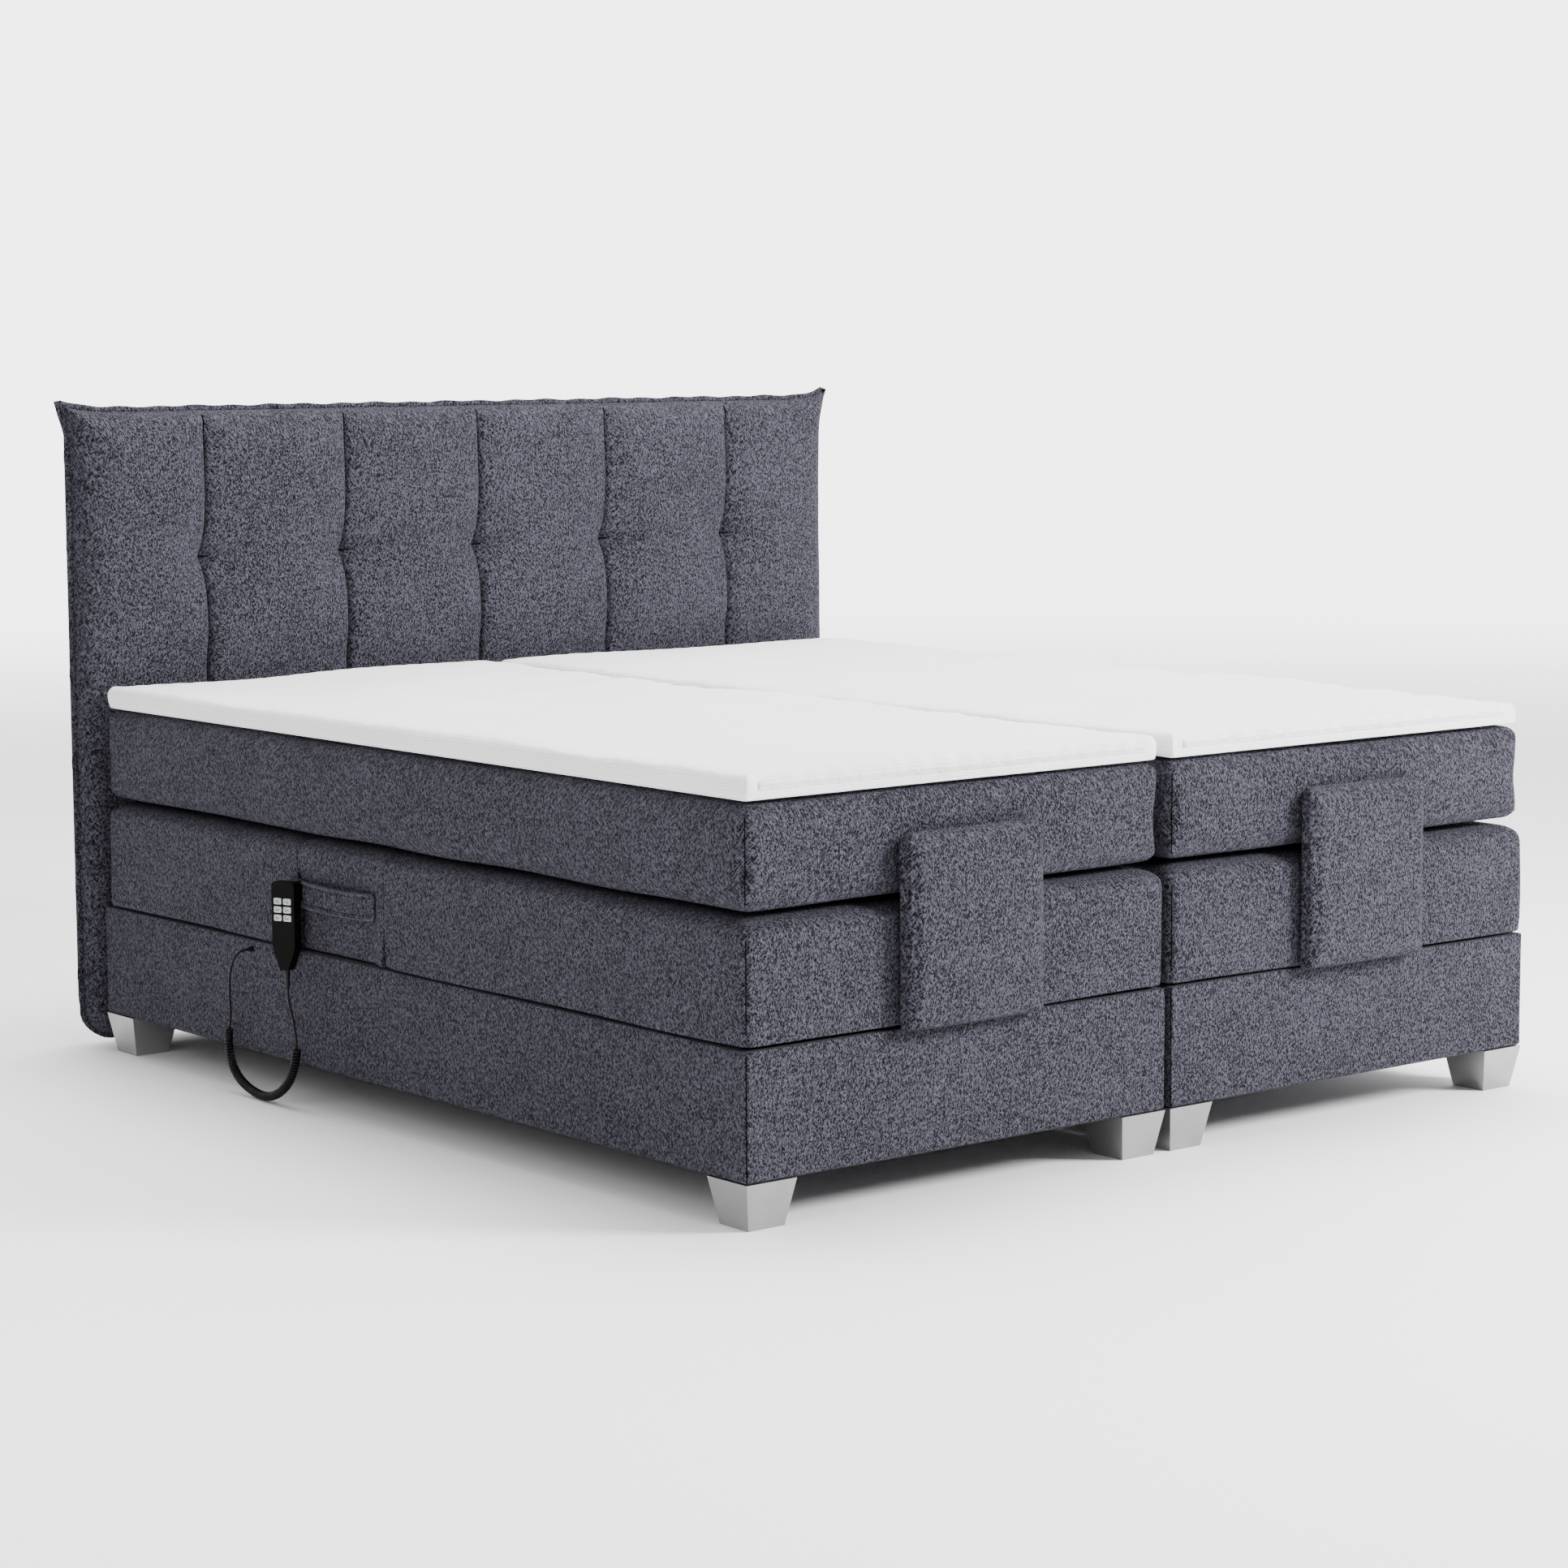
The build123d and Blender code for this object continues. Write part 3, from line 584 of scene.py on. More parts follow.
def round_edges(points, low, high, radii, plan=(0, 1), power=2.0, crease=0.0):
    """Pushes points in from a box's edges. radii holds the rounding next to each low and high side.

    power above 2 keeps the plan's own corners sharper; crease pulls a sewn corner seam in.
    """
    near, far = radii
    core = np.clip(points, low + near, high - far)
    away = points - core
    radius = np.where(away < 0, near, far)
    reach = away / radius
    across, along = np.abs(reach[:, plan[0]]), np.abs(reach[:, plan[1]])
    flat = (across**power + along**power) ** (1 / power)
    upright = reach[:, 3 - plan[0] - plan[1]]
    size = np.sqrt(flat**2 + upright**2)
    size[size < 1e-9] = 1
    seam = np.exp(-(((across - along) / 0.2) ** 2)) * (np.minimum(across, along) > 0.4)
    pulled = 1 / size - crease * seam / np.linalg.norm(radius, axis=1)
    return core + reach * pulled[:, None] * radius


def soft_block(name, low, high, spacing, radii, material, plan=(0, 1), power=2.0, crease=0.0):
    """A closed stuffed box. radii is ((x, y, z) at the low sides, (x, y, z) at the high sides)."""
    low, high = np.array(low, float), np.array(high, float)
    near, far = np.array(radii, float)
    lines = [stations(low[k], high[k], spacing, near[k], far[k]) for k in range(3)]
    points, faces = closed_grid(*lines)
    points = round_edges(points, low, high, (near, far), plan, power, crease)
    return mesh_piece(name, points, faces, material)


# %% Working on a mesh's points
def get_points(piece):
    flat = np.zeros(len(piece.data.vertices) * 3)
    piece.data.vertices.foreach_get("co", flat)
    return flat.reshape(-1, 3)


def set_points(piece, points):
    piece.data.vertices.foreach_set("co", np.ascontiguousarray(points, float).ravel())
    piece.data.update()


def get_normals(piece):
    flat = np.zeros(len(piece.data.vertices) * 3)
    piece.data.vertices.foreach_get("normal", flat)
    return flat.reshape(-1, 3)


def ripple(piece, amount, scale, seed, stretch=(1, 1, 1), mask=None):
    """Moves points along their normals by smooth noise, in metres at most about amount."""
    points, normals = get_points(piece), get_normals(piece)
    shift = Vector((seed * 7.31, seed * 3.17, seed * 1.73))
    scaled = points * np.array(stretch) * scale
    height = np.array([noise.noise(Vector(p) + shift) for p in scaled])
    if mask is not None:
        height = height * mask(points)
    set_points(piece, points + normals * (amount * height)[:, None])


# %% Filling and finishing a soft piece
SIM_FRAMES = 14


def inflate(piece, pressure, cap, held):
    """Fills a closed cloth with air pressure, then keeps each point within cap of where it was."""
    rest = get_points(piece)
    cloth = piece.modifiers.new("filling", "CLOTH")
    settings = cloth.settings
    settings.quality = 4
    settings.mass = 0.3
    settings.tension_stiffness = settings.compression_stiffness = 12
    settings.shear_stiffness = 5
    settings.bending_stiffness = 0.6
    settings.use_pressure = True
    settings.uniform_pressure_force = pressure
    settings.effector_weights.gravity = 0
    group = piece.vertex_groups.new(name="held")
    group.add([int(i) for i in np.flatnonzero(held(rest))], 1.0, "REPLACE")
    settings.vertex_group_mass = "held"
    cloth.point_cache.frame_start = 1
    cloth.point_cache.frame_end = SIM_FRAMES
    for step in range(1, SIM_FRAMES + 1):
        bpy.context.scene.frame_set(step)
    shown = piece.evaluated_get(bpy.context.evaluated_depsgraph_get())
    move = get_points(shown) - rest
    length = np.linalg.norm(move, axis=1)
    limit = np.minimum(1, cap / np.maximum(length, 1e-9))
    piece.modifiers.clear()
    piece.vertex_groups.clear()
    set_points(piece, rest + move * limit[:, None])
    bpy.context.scene.frame_set(1)
    print(piece.name, "filled, moved at most", round(float((length * limit).max()), 4))


def smoother(piece):
    """Subdivides the finished mesh once, for good."""
    modifier = piece.modifiers.new("smooth", "SUBSURF")
    modifier.levels = modifier.render_levels = 1
    shown = piece.evaluated_get(bpy.context.evaluated_depsgraph_get())
    mesh = bpy.data.meshes.new_from_object(shown)
    piece.modifiers.clear()
    old = piece.data
    piece.data = mesh
    bpy.data.meshes.remove(old)
    mesh.polygons.foreach_set("use_smooth", [True] * len(mesh.polygons))


RIM_HEIGHT = 0.034


def slope_rim(piece, level, depth, sides, reach=0.05):
    """Moves the flat top or underside near its sides, up or down by depth, so that a dark gap opens.

    sides are (axis, place) pairs. The shift fades with height off level and with reach from a side.
    """
    points = get_points(piece)
    gap = np.minimum.reduce([np.abs(points[:, axis] - place) for axis, place in sides])
    near = np.clip(1 - np.abs(points[:, 2] - level) / RIM_HEIGHT, 0, 1)
    points[:, 2] += depth * np.exp(-gap / reach) * near
    set_points(piece, points)


def recalculate_normals(piece):
    work = bmesh.new()
    work.from_mesh(piece.data)
    bmesh.ops.recalc_face_normals(work, faces=work.faces)
    work.to_mesh(piece.data)
    work.free()


def slice_piece(piece, name, low_y=None, high_y=None):
    """A copy of a piece between two upright planes across the bed, its cut ends closed."""
    made = new_object(name, piece.data.copy())
    work = bmesh.new()
    work.from_mesh(made.data)
    for place, sign in ((low_y, -1), (high_y, 1)):
        if place is None:
            continue
        everything = work.verts[:] + work.edges[:] + work.faces[:]
        plane = {"plane_co": (0, place, 0), "plane_no": (0, sign, 0)}
        cut = bmesh.ops.bisect_plane(work, geom=everything, dist=1e-6, clear_outer=True, **plane)
        rim = [e for e in cut["geom_cut"] if isinstance(e, bmesh.types.BMEdge)]
        bmesh.ops.edgeloop_fill(work, edges=rim)
        for edge in rim:
            edge.smooth = False
    work.to_mesh(made.data)
    work.free()
    return made


# %% [markdown]
# ## Mattresses and toppers
# A mattress is made as one piece. A piece can follow two bodies, and a side has four sections, so each
# mattress and topper is cut into three across the bed, the cuts lying between the bends at the back
# joint, the hip and the knee. The pieces are left where they were cut.

# %% Joint places
joint_place = {j["name"]: Vector(j["pos_m"]) for j in frame["joints"] if "pos_m" in j}
BACK_Y = joint_place["left_back_hinge"].y
HIP_Y = joint_place["left_thigh_hinge"].y
KNEE_Y = joint_place["left_knee_hinge"].y
# Each bend's span is spread out wide; here the spans only set where the cuts go.
BACK_BEND = BACK_Y - 0.19, BACK_Y + 0.20
HIP_BEND = HIP_Y + 0.08, HIP_Y - 0.14
KNEE_BEND = KNEE_Y + 0.12, KNEE_Y - 0.12
SEAT_CUT_Y = (BACK_BEND[0] + HIP_BEND[0]) / 2
THIGH_CUT_Y = (HIP_BEND[1] + KNEE_BEND[0]) / 2


def bending_pieces(whole, side, name, replaced):
    """Cuts a whole soft piece into three across the bed, and hides its CAD solids."""
    back, thigh, calf = (f"{side}_{section}_section" for section in ("back", "thigh", "calf"))
    made = [
        (slice_piece(whole, f"{side}_{name}_head", low_y=SEAT_CUT_Y), ROOT, back, BACK_BEND),
        (slice_piece(whole, f"{side}_{name}_middle", THIGH_CUT_Y, SEAT_CUT_Y), ROOT, thigh, HIP_BEND),
        (slice_piece(whole, f"{side}_{name}_foot", high_y=THIGH_CUT_Y), thigh, calf, KNEE_BEND),
    ]
    for (piece, first, second, (start, end)), nodes in zip(made, replaced):
        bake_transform(piece)
        if nodes:
            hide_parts(*nodes)
    mesh = whole.data
    bpy.data.objects.remove(whole)
    bpy.data.meshes.remove(mesh)
    return [piece.name for piece, *_ in made]


# %% Mattresses
MATTRESS_SPACING = 0.022
RIM_GAP = 0.009
MATTRESS_RADII = (0.022, 0.022, 0.024), (0.022, 0.022, 0.018)
MATTRESS_SEED = {"left": 3, "right": 8}


def mattress(side):
    low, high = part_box(f"{side}_calf_mattress")[0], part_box(f"{side}_back_mattress")[1]
    whole = soft_block(
        f"{side}_mattress", low, high, MATTRESS_SPACING, MATTRESS_RADII, UPHOLSTERY, power=5.0, crease=0.003
    )
    flat_low, flat_high = low.z + 0.004, high.z - 0.004
    inflate(whole, pressure=3.0, cap=0.005, held=lambda p: (p[:, 2] < flat_low) | (p[:, 2] > flat_high))
    sides = ((0, low.x), (0, high.x), (1, low.y), (1, high.y))
    slope_rim(whole, low.z, RIM_GAP, sides)
    slope_rim(whole, high.z, -0.007, sides, reach=0.03)
    ripple(whole, amount=0.0035, scale=5.0, seed=MATTRESS_SEED[side], stretch=(1, 1, 2.2))
    smoother(whole)
    replaced = (
        (f"{side}_back_mattress", f"{side}_seat_mattress"),
        (f"{side}_thigh_mattress",),
        (f"{side}_calf_mattress",),
    )
    return bending_pieces(whole, side, "mattress", replaced)


for side in SIDES:
    print(mattress(side))

# %% Toppers
TOPPER_SPACING = 0.016
TOPPER_RADII = (0.013, 0.013, 0.010), (0.013, 0.013, 0.016)
TOPPER_SEED = {"left": 12, "right": 27}
PUCKER_PITCH = 0.045
PUCKER_HEIGHT = 0.0032
PUCKER_REACH = 0.02
BORDER_DEPTH = 0.009
BORDER_BLEND = 0.005


def topper_puckers(piece, low, high):
    """Small regular puckers where the jersey is gathered along its sides and turns over the edge."""
    points, normals = get_points(piece), get_normals(piece)
    side_gap = np.minimum(points[:, 0] - low.x, high.x - points[:, 0])
    end_gap = np.minimum(points[:, 1] - low.y, high.y - points[:, 1])
    at_side = side_gap < end_gap
    along = np.where(at_side, points[:, 1], points[:, 0])
    gap = np.minimum(side_gap, end_gap)
    upper = np.clip((points[:, 2] - low.z - 0.008) / 0.012, 0, 1)
    wobble = np.array([noise.noise(Vector((a * 6, 3.7, b))) for a, b in zip(along, at_side)])
    wave = np.sin(2 * math.pi * (along / PUCKER_PITCH + 0.8 * wobble))
    height = PUCKER_HEIGHT * wave * upper * np.exp(-gap / PUCKER_REACH)
    set_points(piece, points + normals * height[:, None])


def mark_border(piece, low, high):
    """Stores how far each point belongs to the upright border, which is knitted the other way."""
    points = get_points(piece)
    gaps = (points[:, 0] - low.x, high.x - points[:, 0], points[:, 1] - low.y, high.y - points[:, 1])
    border = np.clip((BORDER_DEPTH - np.minimum.reduce(gaps)) / BORDER_BLEND, 0, 1)
    stored = piece.data.attributes.new("border", "FLOAT", "POINT")
    stored.data.foreach_set("value", border)


def topper(side):
    low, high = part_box(f"{side}_topper")
    lifted = Vector((0, 0, 0.0005))
    ends = low + lifted, high - lifted
    whole = soft_block(
        f"{side}_topper_cover", *ends, TOPPER_SPACING, TOPPER_RADII, JERSEY, power=3.5, crease=0.002
    )
    underside = low.z + 0.004
    inflate(whole, pressure=1.2, cap=0.003, held=lambda p: p[:, 2] < underside)
    seed = TOPPER_SEED[side]

    def above(points):
        return np.clip((points[:, 2] - low.z - 0.006) / 0.02, 0, 1)

    ripple(whole, amount=0.007, scale=2.3, seed=seed, stretch=(1.0, 1.4, 1), mask=above)
    ripple(whole, amount=0.0045, scale=8.0, seed=seed + 1, stretch=(0.45, 1.6, 1), mask=above)
    topper_puckers(whole, low, high)
    mark_border(whole, low, high)
    smoother(whole)
    return bending_pieces(whole, side, "topper", ((f"{side}_topper",), (), ()))


for side in SIDES:
    print(topper(side))

# %% [markdown]
# ## Deck sections and lower boxes
# The deck sections are timber boxes under foam and fabric. The back and seat covers are separate.
# The thigh and calf sections share one cover that bridges the notch under the knee; it is left where it
# is made. Below, the seat's cover and the leg cover lean away from the hip joint, so a slit opens.

# %% Deck covers
DECK_SPACING = 0.03
TIGHT = 0.0015
SHOULDER = 0.034
DECK_ROUND = 0.03
SEAM_ROUND = 0.006
RECESS_DEPTH = 0.010
SLIT_TOP = 0.345
SLIT_RAMP = 0.05
SEAT_LEAN = 0.011
LEG_LEAN = -0.004
JOINT_CLEAR = 0.0004


def rigid_soft(piece, body, node):
    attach(piece, body)
    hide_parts(node)


def bump_along(values, low, high, ramp):
    """One between low and high, falling to nothing over ramp outside them."""
    rise = np.clip((values - low + ramp) / ramp, 0, 1)
    fall = np.clip((high + ramp - values) / ramp, 0, 1)
    both = np.minimum(rise, fall)
    return both * both * (3 - 2 * both)


def seat_recess(seat, side):
    """The hollow behind the strap, where the seat's cover is pulled in, on the handset's side only."""
    strap_low, strap_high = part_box("handset_strap")
    points = get_points(seat)
    outer = points[:, 0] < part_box(f"{side}_seat_deck")[0].x + 0.02
    hollow = bump_along(points[:, 2], strap_low.z - 0.09, strap_high.z - 0.004, 0.022)
    hollow *= bump_along(points[:, 1], strap_low.y + 0.012, strap_high.y, 0.02)
    points[:, 0] += RECESS_DEPTH * hollow * outer
    set_points(seat, points)


def lean_from_hip(piece, amount, start, power):
    """Leans a cover's end along the bed by amount, next to the hip joint and below the slit's top."""
    points = get_points(piece)
    below = np.clip((SLIT_TOP - points[:, 2]) / SLIT_RAMP, 0, 1)
    near_hip = np.clip((points[:, 1] - start) / (HIP_Y - start), 0, 1) ** power
    points[:, 1] += amount * below * near_hip
    set_points(piece, points)


def back_ripple_mask(points):
    return np.clip((points[:, 1] - BACK_Y - 0.004) / 0.03, 0, 1)


def seat_ripple_mask(points):
    return bump_along(points[:, 1], HIP_Y + 0.03, BACK_Y - 0.03, 0.026)


def leg_ripple_mask(points):
    return np.clip((HIP_Y - 0.004 - points[:, 1]) / 0.03, 0, 1)


def deck_covers(side, seed):
    low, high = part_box(f"{side}_back_deck")
    seat_low, seat_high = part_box(f"{side}_seat_deck")
    calf_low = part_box(f"{side}_calf_deck")[0]
    thigh_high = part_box(f"{side}_thigh_deck")[1]

    radii = (SHOULDER, TIGHT, SEAM_ROUND), (SHOULDER, SHOULDER, DECK_ROUND)
    back_low = Vector((low.x, BACK_Y + JOINT_CLEAR, low.z))
    name = f"{side}_back_deck_cover"
    back = soft_block(name, back_low, high, DECK_SPACING, radii, UPHOLSTERY, power=5.0, crease=0.003)
    slope_rim(back, high.z, -RIM_GAP, ((0, low.x), (0, high.x), (1, high.y), (1, BACK_Y)))
    ripple(back, amount=0.003, scale=4.0, seed=seed, stretch=(1, 1, 2), mask=back_ripple_mask)
    smoother(back)
    rigid_soft(back, f"{side}_back_section", f"{side}_back_deck")

    radii = (SHOULDER, TIGHT, SEAM_ROUND), (SHOULDER, TIGHT, DECK_ROUND)
    seat_low = Vector((low.x, HIP_Y + JOINT_CLEAR, seat_low.z))
    seat_high = Vector((high.x, BACK_Y - JOINT_CLEAR, seat_high.z))
    seat = soft_block(f"{side}_seat_deck_cover", seat_low, seat_high, 0.016, radii, UPHOLSTERY, power=5.0)
    lean_from_hip(seat, SEAT_LEAN, start=(BACK_Y + HIP_Y) / 2, power=4)
    slope_rim(seat, high.z, -RIM_GAP, ((0, low.x), (0, high.x)))
    if side == "left":
        seat_recess(seat, side)
    ripple(seat, amount=0.0015, scale=5.0, seed=seed + 1, stretch=(1, 1, 2), mask=seat_ripple_mask)
    smoother(seat)
    rigid_soft(seat, ROOT, f"{side}_seat_deck")

    radii = (SHOULDER, SHOULDER, SEAM_ROUND), (SHOULDER, TIGHT, DECK_ROUND)
    legs_high = Vector((thigh_high.x, HIP_Y - JOINT_CLEAR, thigh_high.z))
    ends = calf_low, legs_high
    legs = soft_block(
        f"{side}_leg_deck_cover", *ends, DECK_SPACING, radii, UPHOLSTERY, power=5.0, crease=0.003
    )
    lean_from_hip(legs, LEG_LEAN, start=KNEE_Y, power=6)
    slope_rim(legs, high.z, -RIM_GAP, ((0, low.x), (0, high.x), (1, calf_low.y)))
    ripple(legs, amount=0.0035, scale=3.5, seed=seed + 2, stretch=(1, 1, 2), mask=leg_ripple_mask)
    smoother(legs)
    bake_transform(legs)
    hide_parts(f"{side}_thigh_deck", f"{side}_calf_deck")
    print(side, "deck covers have", [len(cover.data.vertices) for cover in (back, seat, legs)], "points")


for number, side in enumerate(SIDES):
    deck_covers(side, 40 + 10 * number)


# %% Lower box covers
BOX_RADII = (0.009, 0.009, 0.007), (0.009, 0.009, 0.0012)
TURNED_IN = 0.022
CLOTH_THICKNESS = 0.0025


def box_cover(side, seed):
    """The stretched cover of a lower box: a thin skin, open on top but for a rim that is turned in."""
    low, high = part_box(f"{side}_box_cover")
    name = f"{side}_lower_box_cover"
    outer = soft_block(name, low, high, 0.03, BOX_RADII, UPHOLSTERY, power=4.0, crease=0.002)

    def middle_band(points):
        return bump_along(points[:, 2], low.z + 0.04, high.z - 0.05, 0.035)

    ripple(outer, amount=0.0025, scale=4.5, seed=seed, stretch=(1, 1, 2), mask=middle_band)
    work = bmesh.new()
    work.from_mesh(outer.data)
    middle_x, middle_y = (low.x + high.x) / 2, (low.y + high.y) / 2
    reach_x, reach_y = (high.x - low.x) / 2 - TURNED_IN, (high.y - low.y) / 2 - TURNED_IN
    top = []
    for face in work.faces:
        place = face.calc_center_median()
        inside = abs(place.x - middle_x) < reach_x and abs(place.y - middle_y) < reach_y
        if face.normal.z > 0.9 and inside:
            top.append(face)
    bmesh.ops.delete(work, geom=top, context="FACES")
    work.to_mesh(outer.data)
    work.free()
    thick = outer.modifiers.new("cloth_thickness", "SOLIDIFY")
    thick.thickness = CLOTH_THICKNESS
    thick.offset = -1
    rigid_soft(outer, ROOT, f"{side}_box_cover")
    print(name, "is open on top where", len(top), "faces were")


for number, side in enumerate(SIDES):
    box_cover(side, 70 + number)

# %% [markdown]
# ## Mattress retainers
# Two small padded plates at the foot end stop the mattresses from sliding when the bed is raised.


# %% Retainer pads
PAD_RADII = (0.022, 0.009, 0.008), (0.022, 0.009, 0.024)


def retainer(side, seed):
    low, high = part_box(f"{side}_retainer_pad")
    pad = soft_block(f"{side}_retainer_cover", low, high, 0.012, PAD_RADII, UPHOLSTERY, plan=(0, 2))
    back_face = high.y - 0.006
    inflate(pad, pressure=3.0, cap=0.005, held=lambda p: p[:, 1] > back_face)
    ripple(pad, amount=0.0015, scale=9.0, seed=seed)
    smoother(pad)
    rigid_soft(pad, f"{side}_calf_section", f"{side}_retainer_pad")


for number, side in enumerate(SIDES):
    retainer(side, 90 + number)

# %% [markdown]
# ## Headboard
# The headboard is one long cushion. Five sewn channels run down it, each pulled in deeper by a tuft
# at head height. Its top corners are pointed like a pillow's, and a sewn flange goes round its rim.
# The front is a grid whose points are placed by a formula; pressure fills it between held seams.

# %% Headboard outline
head_low, head_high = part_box("headboard_cushion")
HALF_WIDTH = 0.928
EAR_OUT = head_high.x - HALF_WIDTH
TOP_Z = 1.238
EAR_UP = head_high.z - TOP_Z
EAR_REACH = 0.09
BOTTOM_RADIUS = 0.06
RIM_Y = head_low.y + 0.045
FRONT_Y = head_low.y + 0.001
REAR_Y = head_high.y - 0.0005
ROLL = 0.045


def side_reach(z):
    """Half the cushion's width at a height."""
    width = np.full_like(z, HALF_WIDTH)
    ear = np.clip((z - (TOP_Z - EAR_REACH)) / (EAR_REACH + EAR_UP), 0, 1)
    width += EAR_OUT * ear**2.2
    low = np.clip((head_low.z + BOTTOM_RADIUS - z) / BOTTOM_RADIUS, 0, 1)
    return width - BOTTOM_RADIUS * (1 - np.sqrt(1 - low**2))


def top_reach(x):
    """The cushion's top height across its width."""
    ear = np.clip((np.abs(x) - (HALF_WIDTH - EAR_REACH)) / (EAR_REACH + EAR_OUT), 0, 1)
    return TOP_Z + EAR_UP * ear**2.2


# %% Headboard seams and tufts
CHANNELS = (-0.648, -0.324, 0.0, 0.324, 0.648)
TUFT_Z = 0.95
TUFT_SWING = -0.013
SEAM_DEPTH, SEAM_WIDTH = 0.0170, 0.0042
HOLLOW_DEPTH, HOLLOW_WIDTH = 0.0060, 0.05
TUFT_DEPTH = 0.026
FOLD_DEPTH, FOLD_LENGTH = 0.024, 0.032


def seam_kink(z):
    """How far a seam swings to the left as its tuft pulls it, at a height."""
    return TUFT_SWING * np.exp(-np.abs(z - TUFT_Z) / 0.038) + 0.001 * np.sin(z * 17)


def channel_pull(x, z):
    """How deep the seams and tufts pull the front in, in metres. x is measured before the kink."""
    depth = np.zeros_like(x)
    for place in CHANNELS:
        across = np.abs(x - place)
        seam = SEAM_DEPTH * np.exp(-across / SEAM_WIDTH) + HOLLOW_DEPTH * np.exp(-across / HOLLOW_WIDTH)
        tuft = np.hypot(across / 0.04, (z - TUFT_Z) / 0.055)
        seam += TUFT_DEPTH * np.exp(-tuft * 1.9)
        right = np.clip(x - place, 0, 1)
        fold = np.exp(-((np.abs(z - TUFT_Z + 0.002 - 0.10 * right) / 0.009) ** 1.5))
        seam += FOLD_DEPTH * fold * np.clip(right / 0.006, 0, 1) * np.exp(-right / FOLD_LENGTH)
        depth = np.maximum(depth, seam)
    return depth


# %% Headboard grid
ROLLED_STEPS = (0.0, 0.008, 0.02, 0.034)
SEAM_STEPS = (-0.026, -0.013, -0.006, -0.0022, 0.0, 0.0022, 0.006, 0.013, 0.026)
TUFT_STEPS = (-0.03, -0.018, -0.009, -0.004, 0.0, 0.004, 0.008, 0.014, 0.024, 0.038)


def refined(low, high, spacing, places, offsets):
    """Even places from low to high, with closer ones around some of them."""
    special = np.array([p + o for p in places for o in offsets])
    even = np.linspace(low, high, max(2, round((high - low) / spacing) + 1))
    clear = np.abs(even[:, None] - special[None, :]).min(axis=1) > 0.5 * spacing
    clear[[0, -1]] = True
    special = special[(special > low) & (special < high)]
    return np.sort(np.concatenate([even[clear], special]))


def headboard_grid():
    """Shares across and up the headboard, close together at its edges, seams and tufts."""
    first, last = list(ROLLED_STEPS), list(reversed(ROLLED_STEPS))
    inner = refined(-HALF_WIDTH + 0.048, HALF_WIDTH - 0.048, 0.019, CHANNELS, SEAM_STEPS)
    across = [-HALF_WIDTH + r for r in first] + list(inner) + [HALF_WIDTH - r for r in last]
    hidden = np.arange(head_low.z + 0.048, 0.68, 0.06)
    seen = refined(0.70, TOP_Z - 0.048, 0.018, (TUFT_Z,), TUFT_STEPS)
    heights = [head_low.z + r for r in first] + list(hidden) + list(seen) + [TOP_Z - r for r in last]
    us = np.array(across) / HALF_WIDTH
    vs = (np.array(heights) - head_low.z) / (TOP_Z - head_low.z)
    return us, vs


def quads(index):
    """The faces between neighbouring points of a grid of point numbers."""
    corners = index[:-1, :-1], index[1:, :-1], index[1:, 1:], index[:-1, 1:]
    return np.stack(corners, axis=-1).reshape(-1, 4).tolist()


# %% Headboard cover
def headboard():
    us, vs = headboard_grid()
    u, v = np.meshgrid(us, vs, indexing="ij")
    z = head_low.z + v * (TOP_Z - head_low.z)
    x = u * side_reach(z)
    z = head_low.z + v * (top_reach(x) - head_low.z)
    x = u * side_reach(z)
    from_side = side_reach(z) - np.abs(x)
    from_end = np.minimum(z - head_low.z, top_reach(x) - z)
    inward = np.clip(np.minimum(from_side, from_end) / ROLL, 0, 1)
    rolled = np.sqrt(1 - (1 - inward) ** 2)
    soft = np.clip(np.minimum(from_side, from_end) / 0.16, 0, 1)
    crown = 0.010 * np.clip((z - 0.74) / 0.06, 0, 1) * soft
    front = FRONT_Y - crown + channel_pull(x, z) * np.clip(inward * 1.2, 0, 1)
    y = RIM_Y + (front - RIM_Y) * rolled
    for place in CHANNELS:
        x = x + seam_kink(z) * np.exp(-np.abs(u * HALF_WIDTH - place) / 0.03) * rolled
    rear = np.where(inward < 1e-6, RIM_Y, REAR_Y - 0.004 * (1 - rolled))
    front_index = np.arange(x.size).reshape(x.shape)
    inside = (slice(1, -1), slice(1, -1))
    back_index = front_index.copy()
    back_index[inside] = x.size + np.arange(x[inside].size).reshape(x[inside].shape)
    points = [*zip(x.ravel(), y.ravel(), z.ravel())]
    points += [*zip(x[inside].ravel(), rear[inside].ravel(), z[inside].ravel())]
    faces = quads(front_index) + [(a, d, c, b) for a, b, c, d in quads(back_index)]
    return mesh_piece("headboard_cover", np.array(points), faces, UPHOLSTERY)


def near_seam(points, reach):
    """Whether points lie within reach of a seam."""
    close = np.zeros(len(points), bool)
    for place in CHANNELS:
        close |= np.abs(points[:, 0] - place - seam_kink(points[:, 2])) < reach
    return close


def held_seams(points):
    """Points that the filling may not move: the rear, the rim, the seams and the hidden lower part."""
    return (points[:, 1] > RIM_Y - 0.006) | near_seam(points, 0.005) | (points[:, 2] < 0.72)


def loose_front(points):
    """Where the front may ripple: away from the rim, the seams and the hidden lower part."""
    in_front = points[:, 1] < RIM_Y - 0.004
    return in_front * ~near_seam(points, 0.009) * np.clip((points[:, 2] - 0.5) / 0.2, 0, 1)


headboard_cover = headboard()
inflate(headboard_cover, pressure=2.0, cap=0.006, held=held_seams)
ripple(headboard_cover, amount=0.003, scale=6.0, seed=5, stretch=(1, 0, 1.3), mask=loose_front)
smoother(headboard_cover)
rigid_soft(headboard_cover, ROOT, "headboard_cushion")
frame["nodes"]["headboard_panel"].data.materials[0] = LINING_AND_GAP_SHADE
print("headboard has", len(headboard_cover.data.vertices), "points")


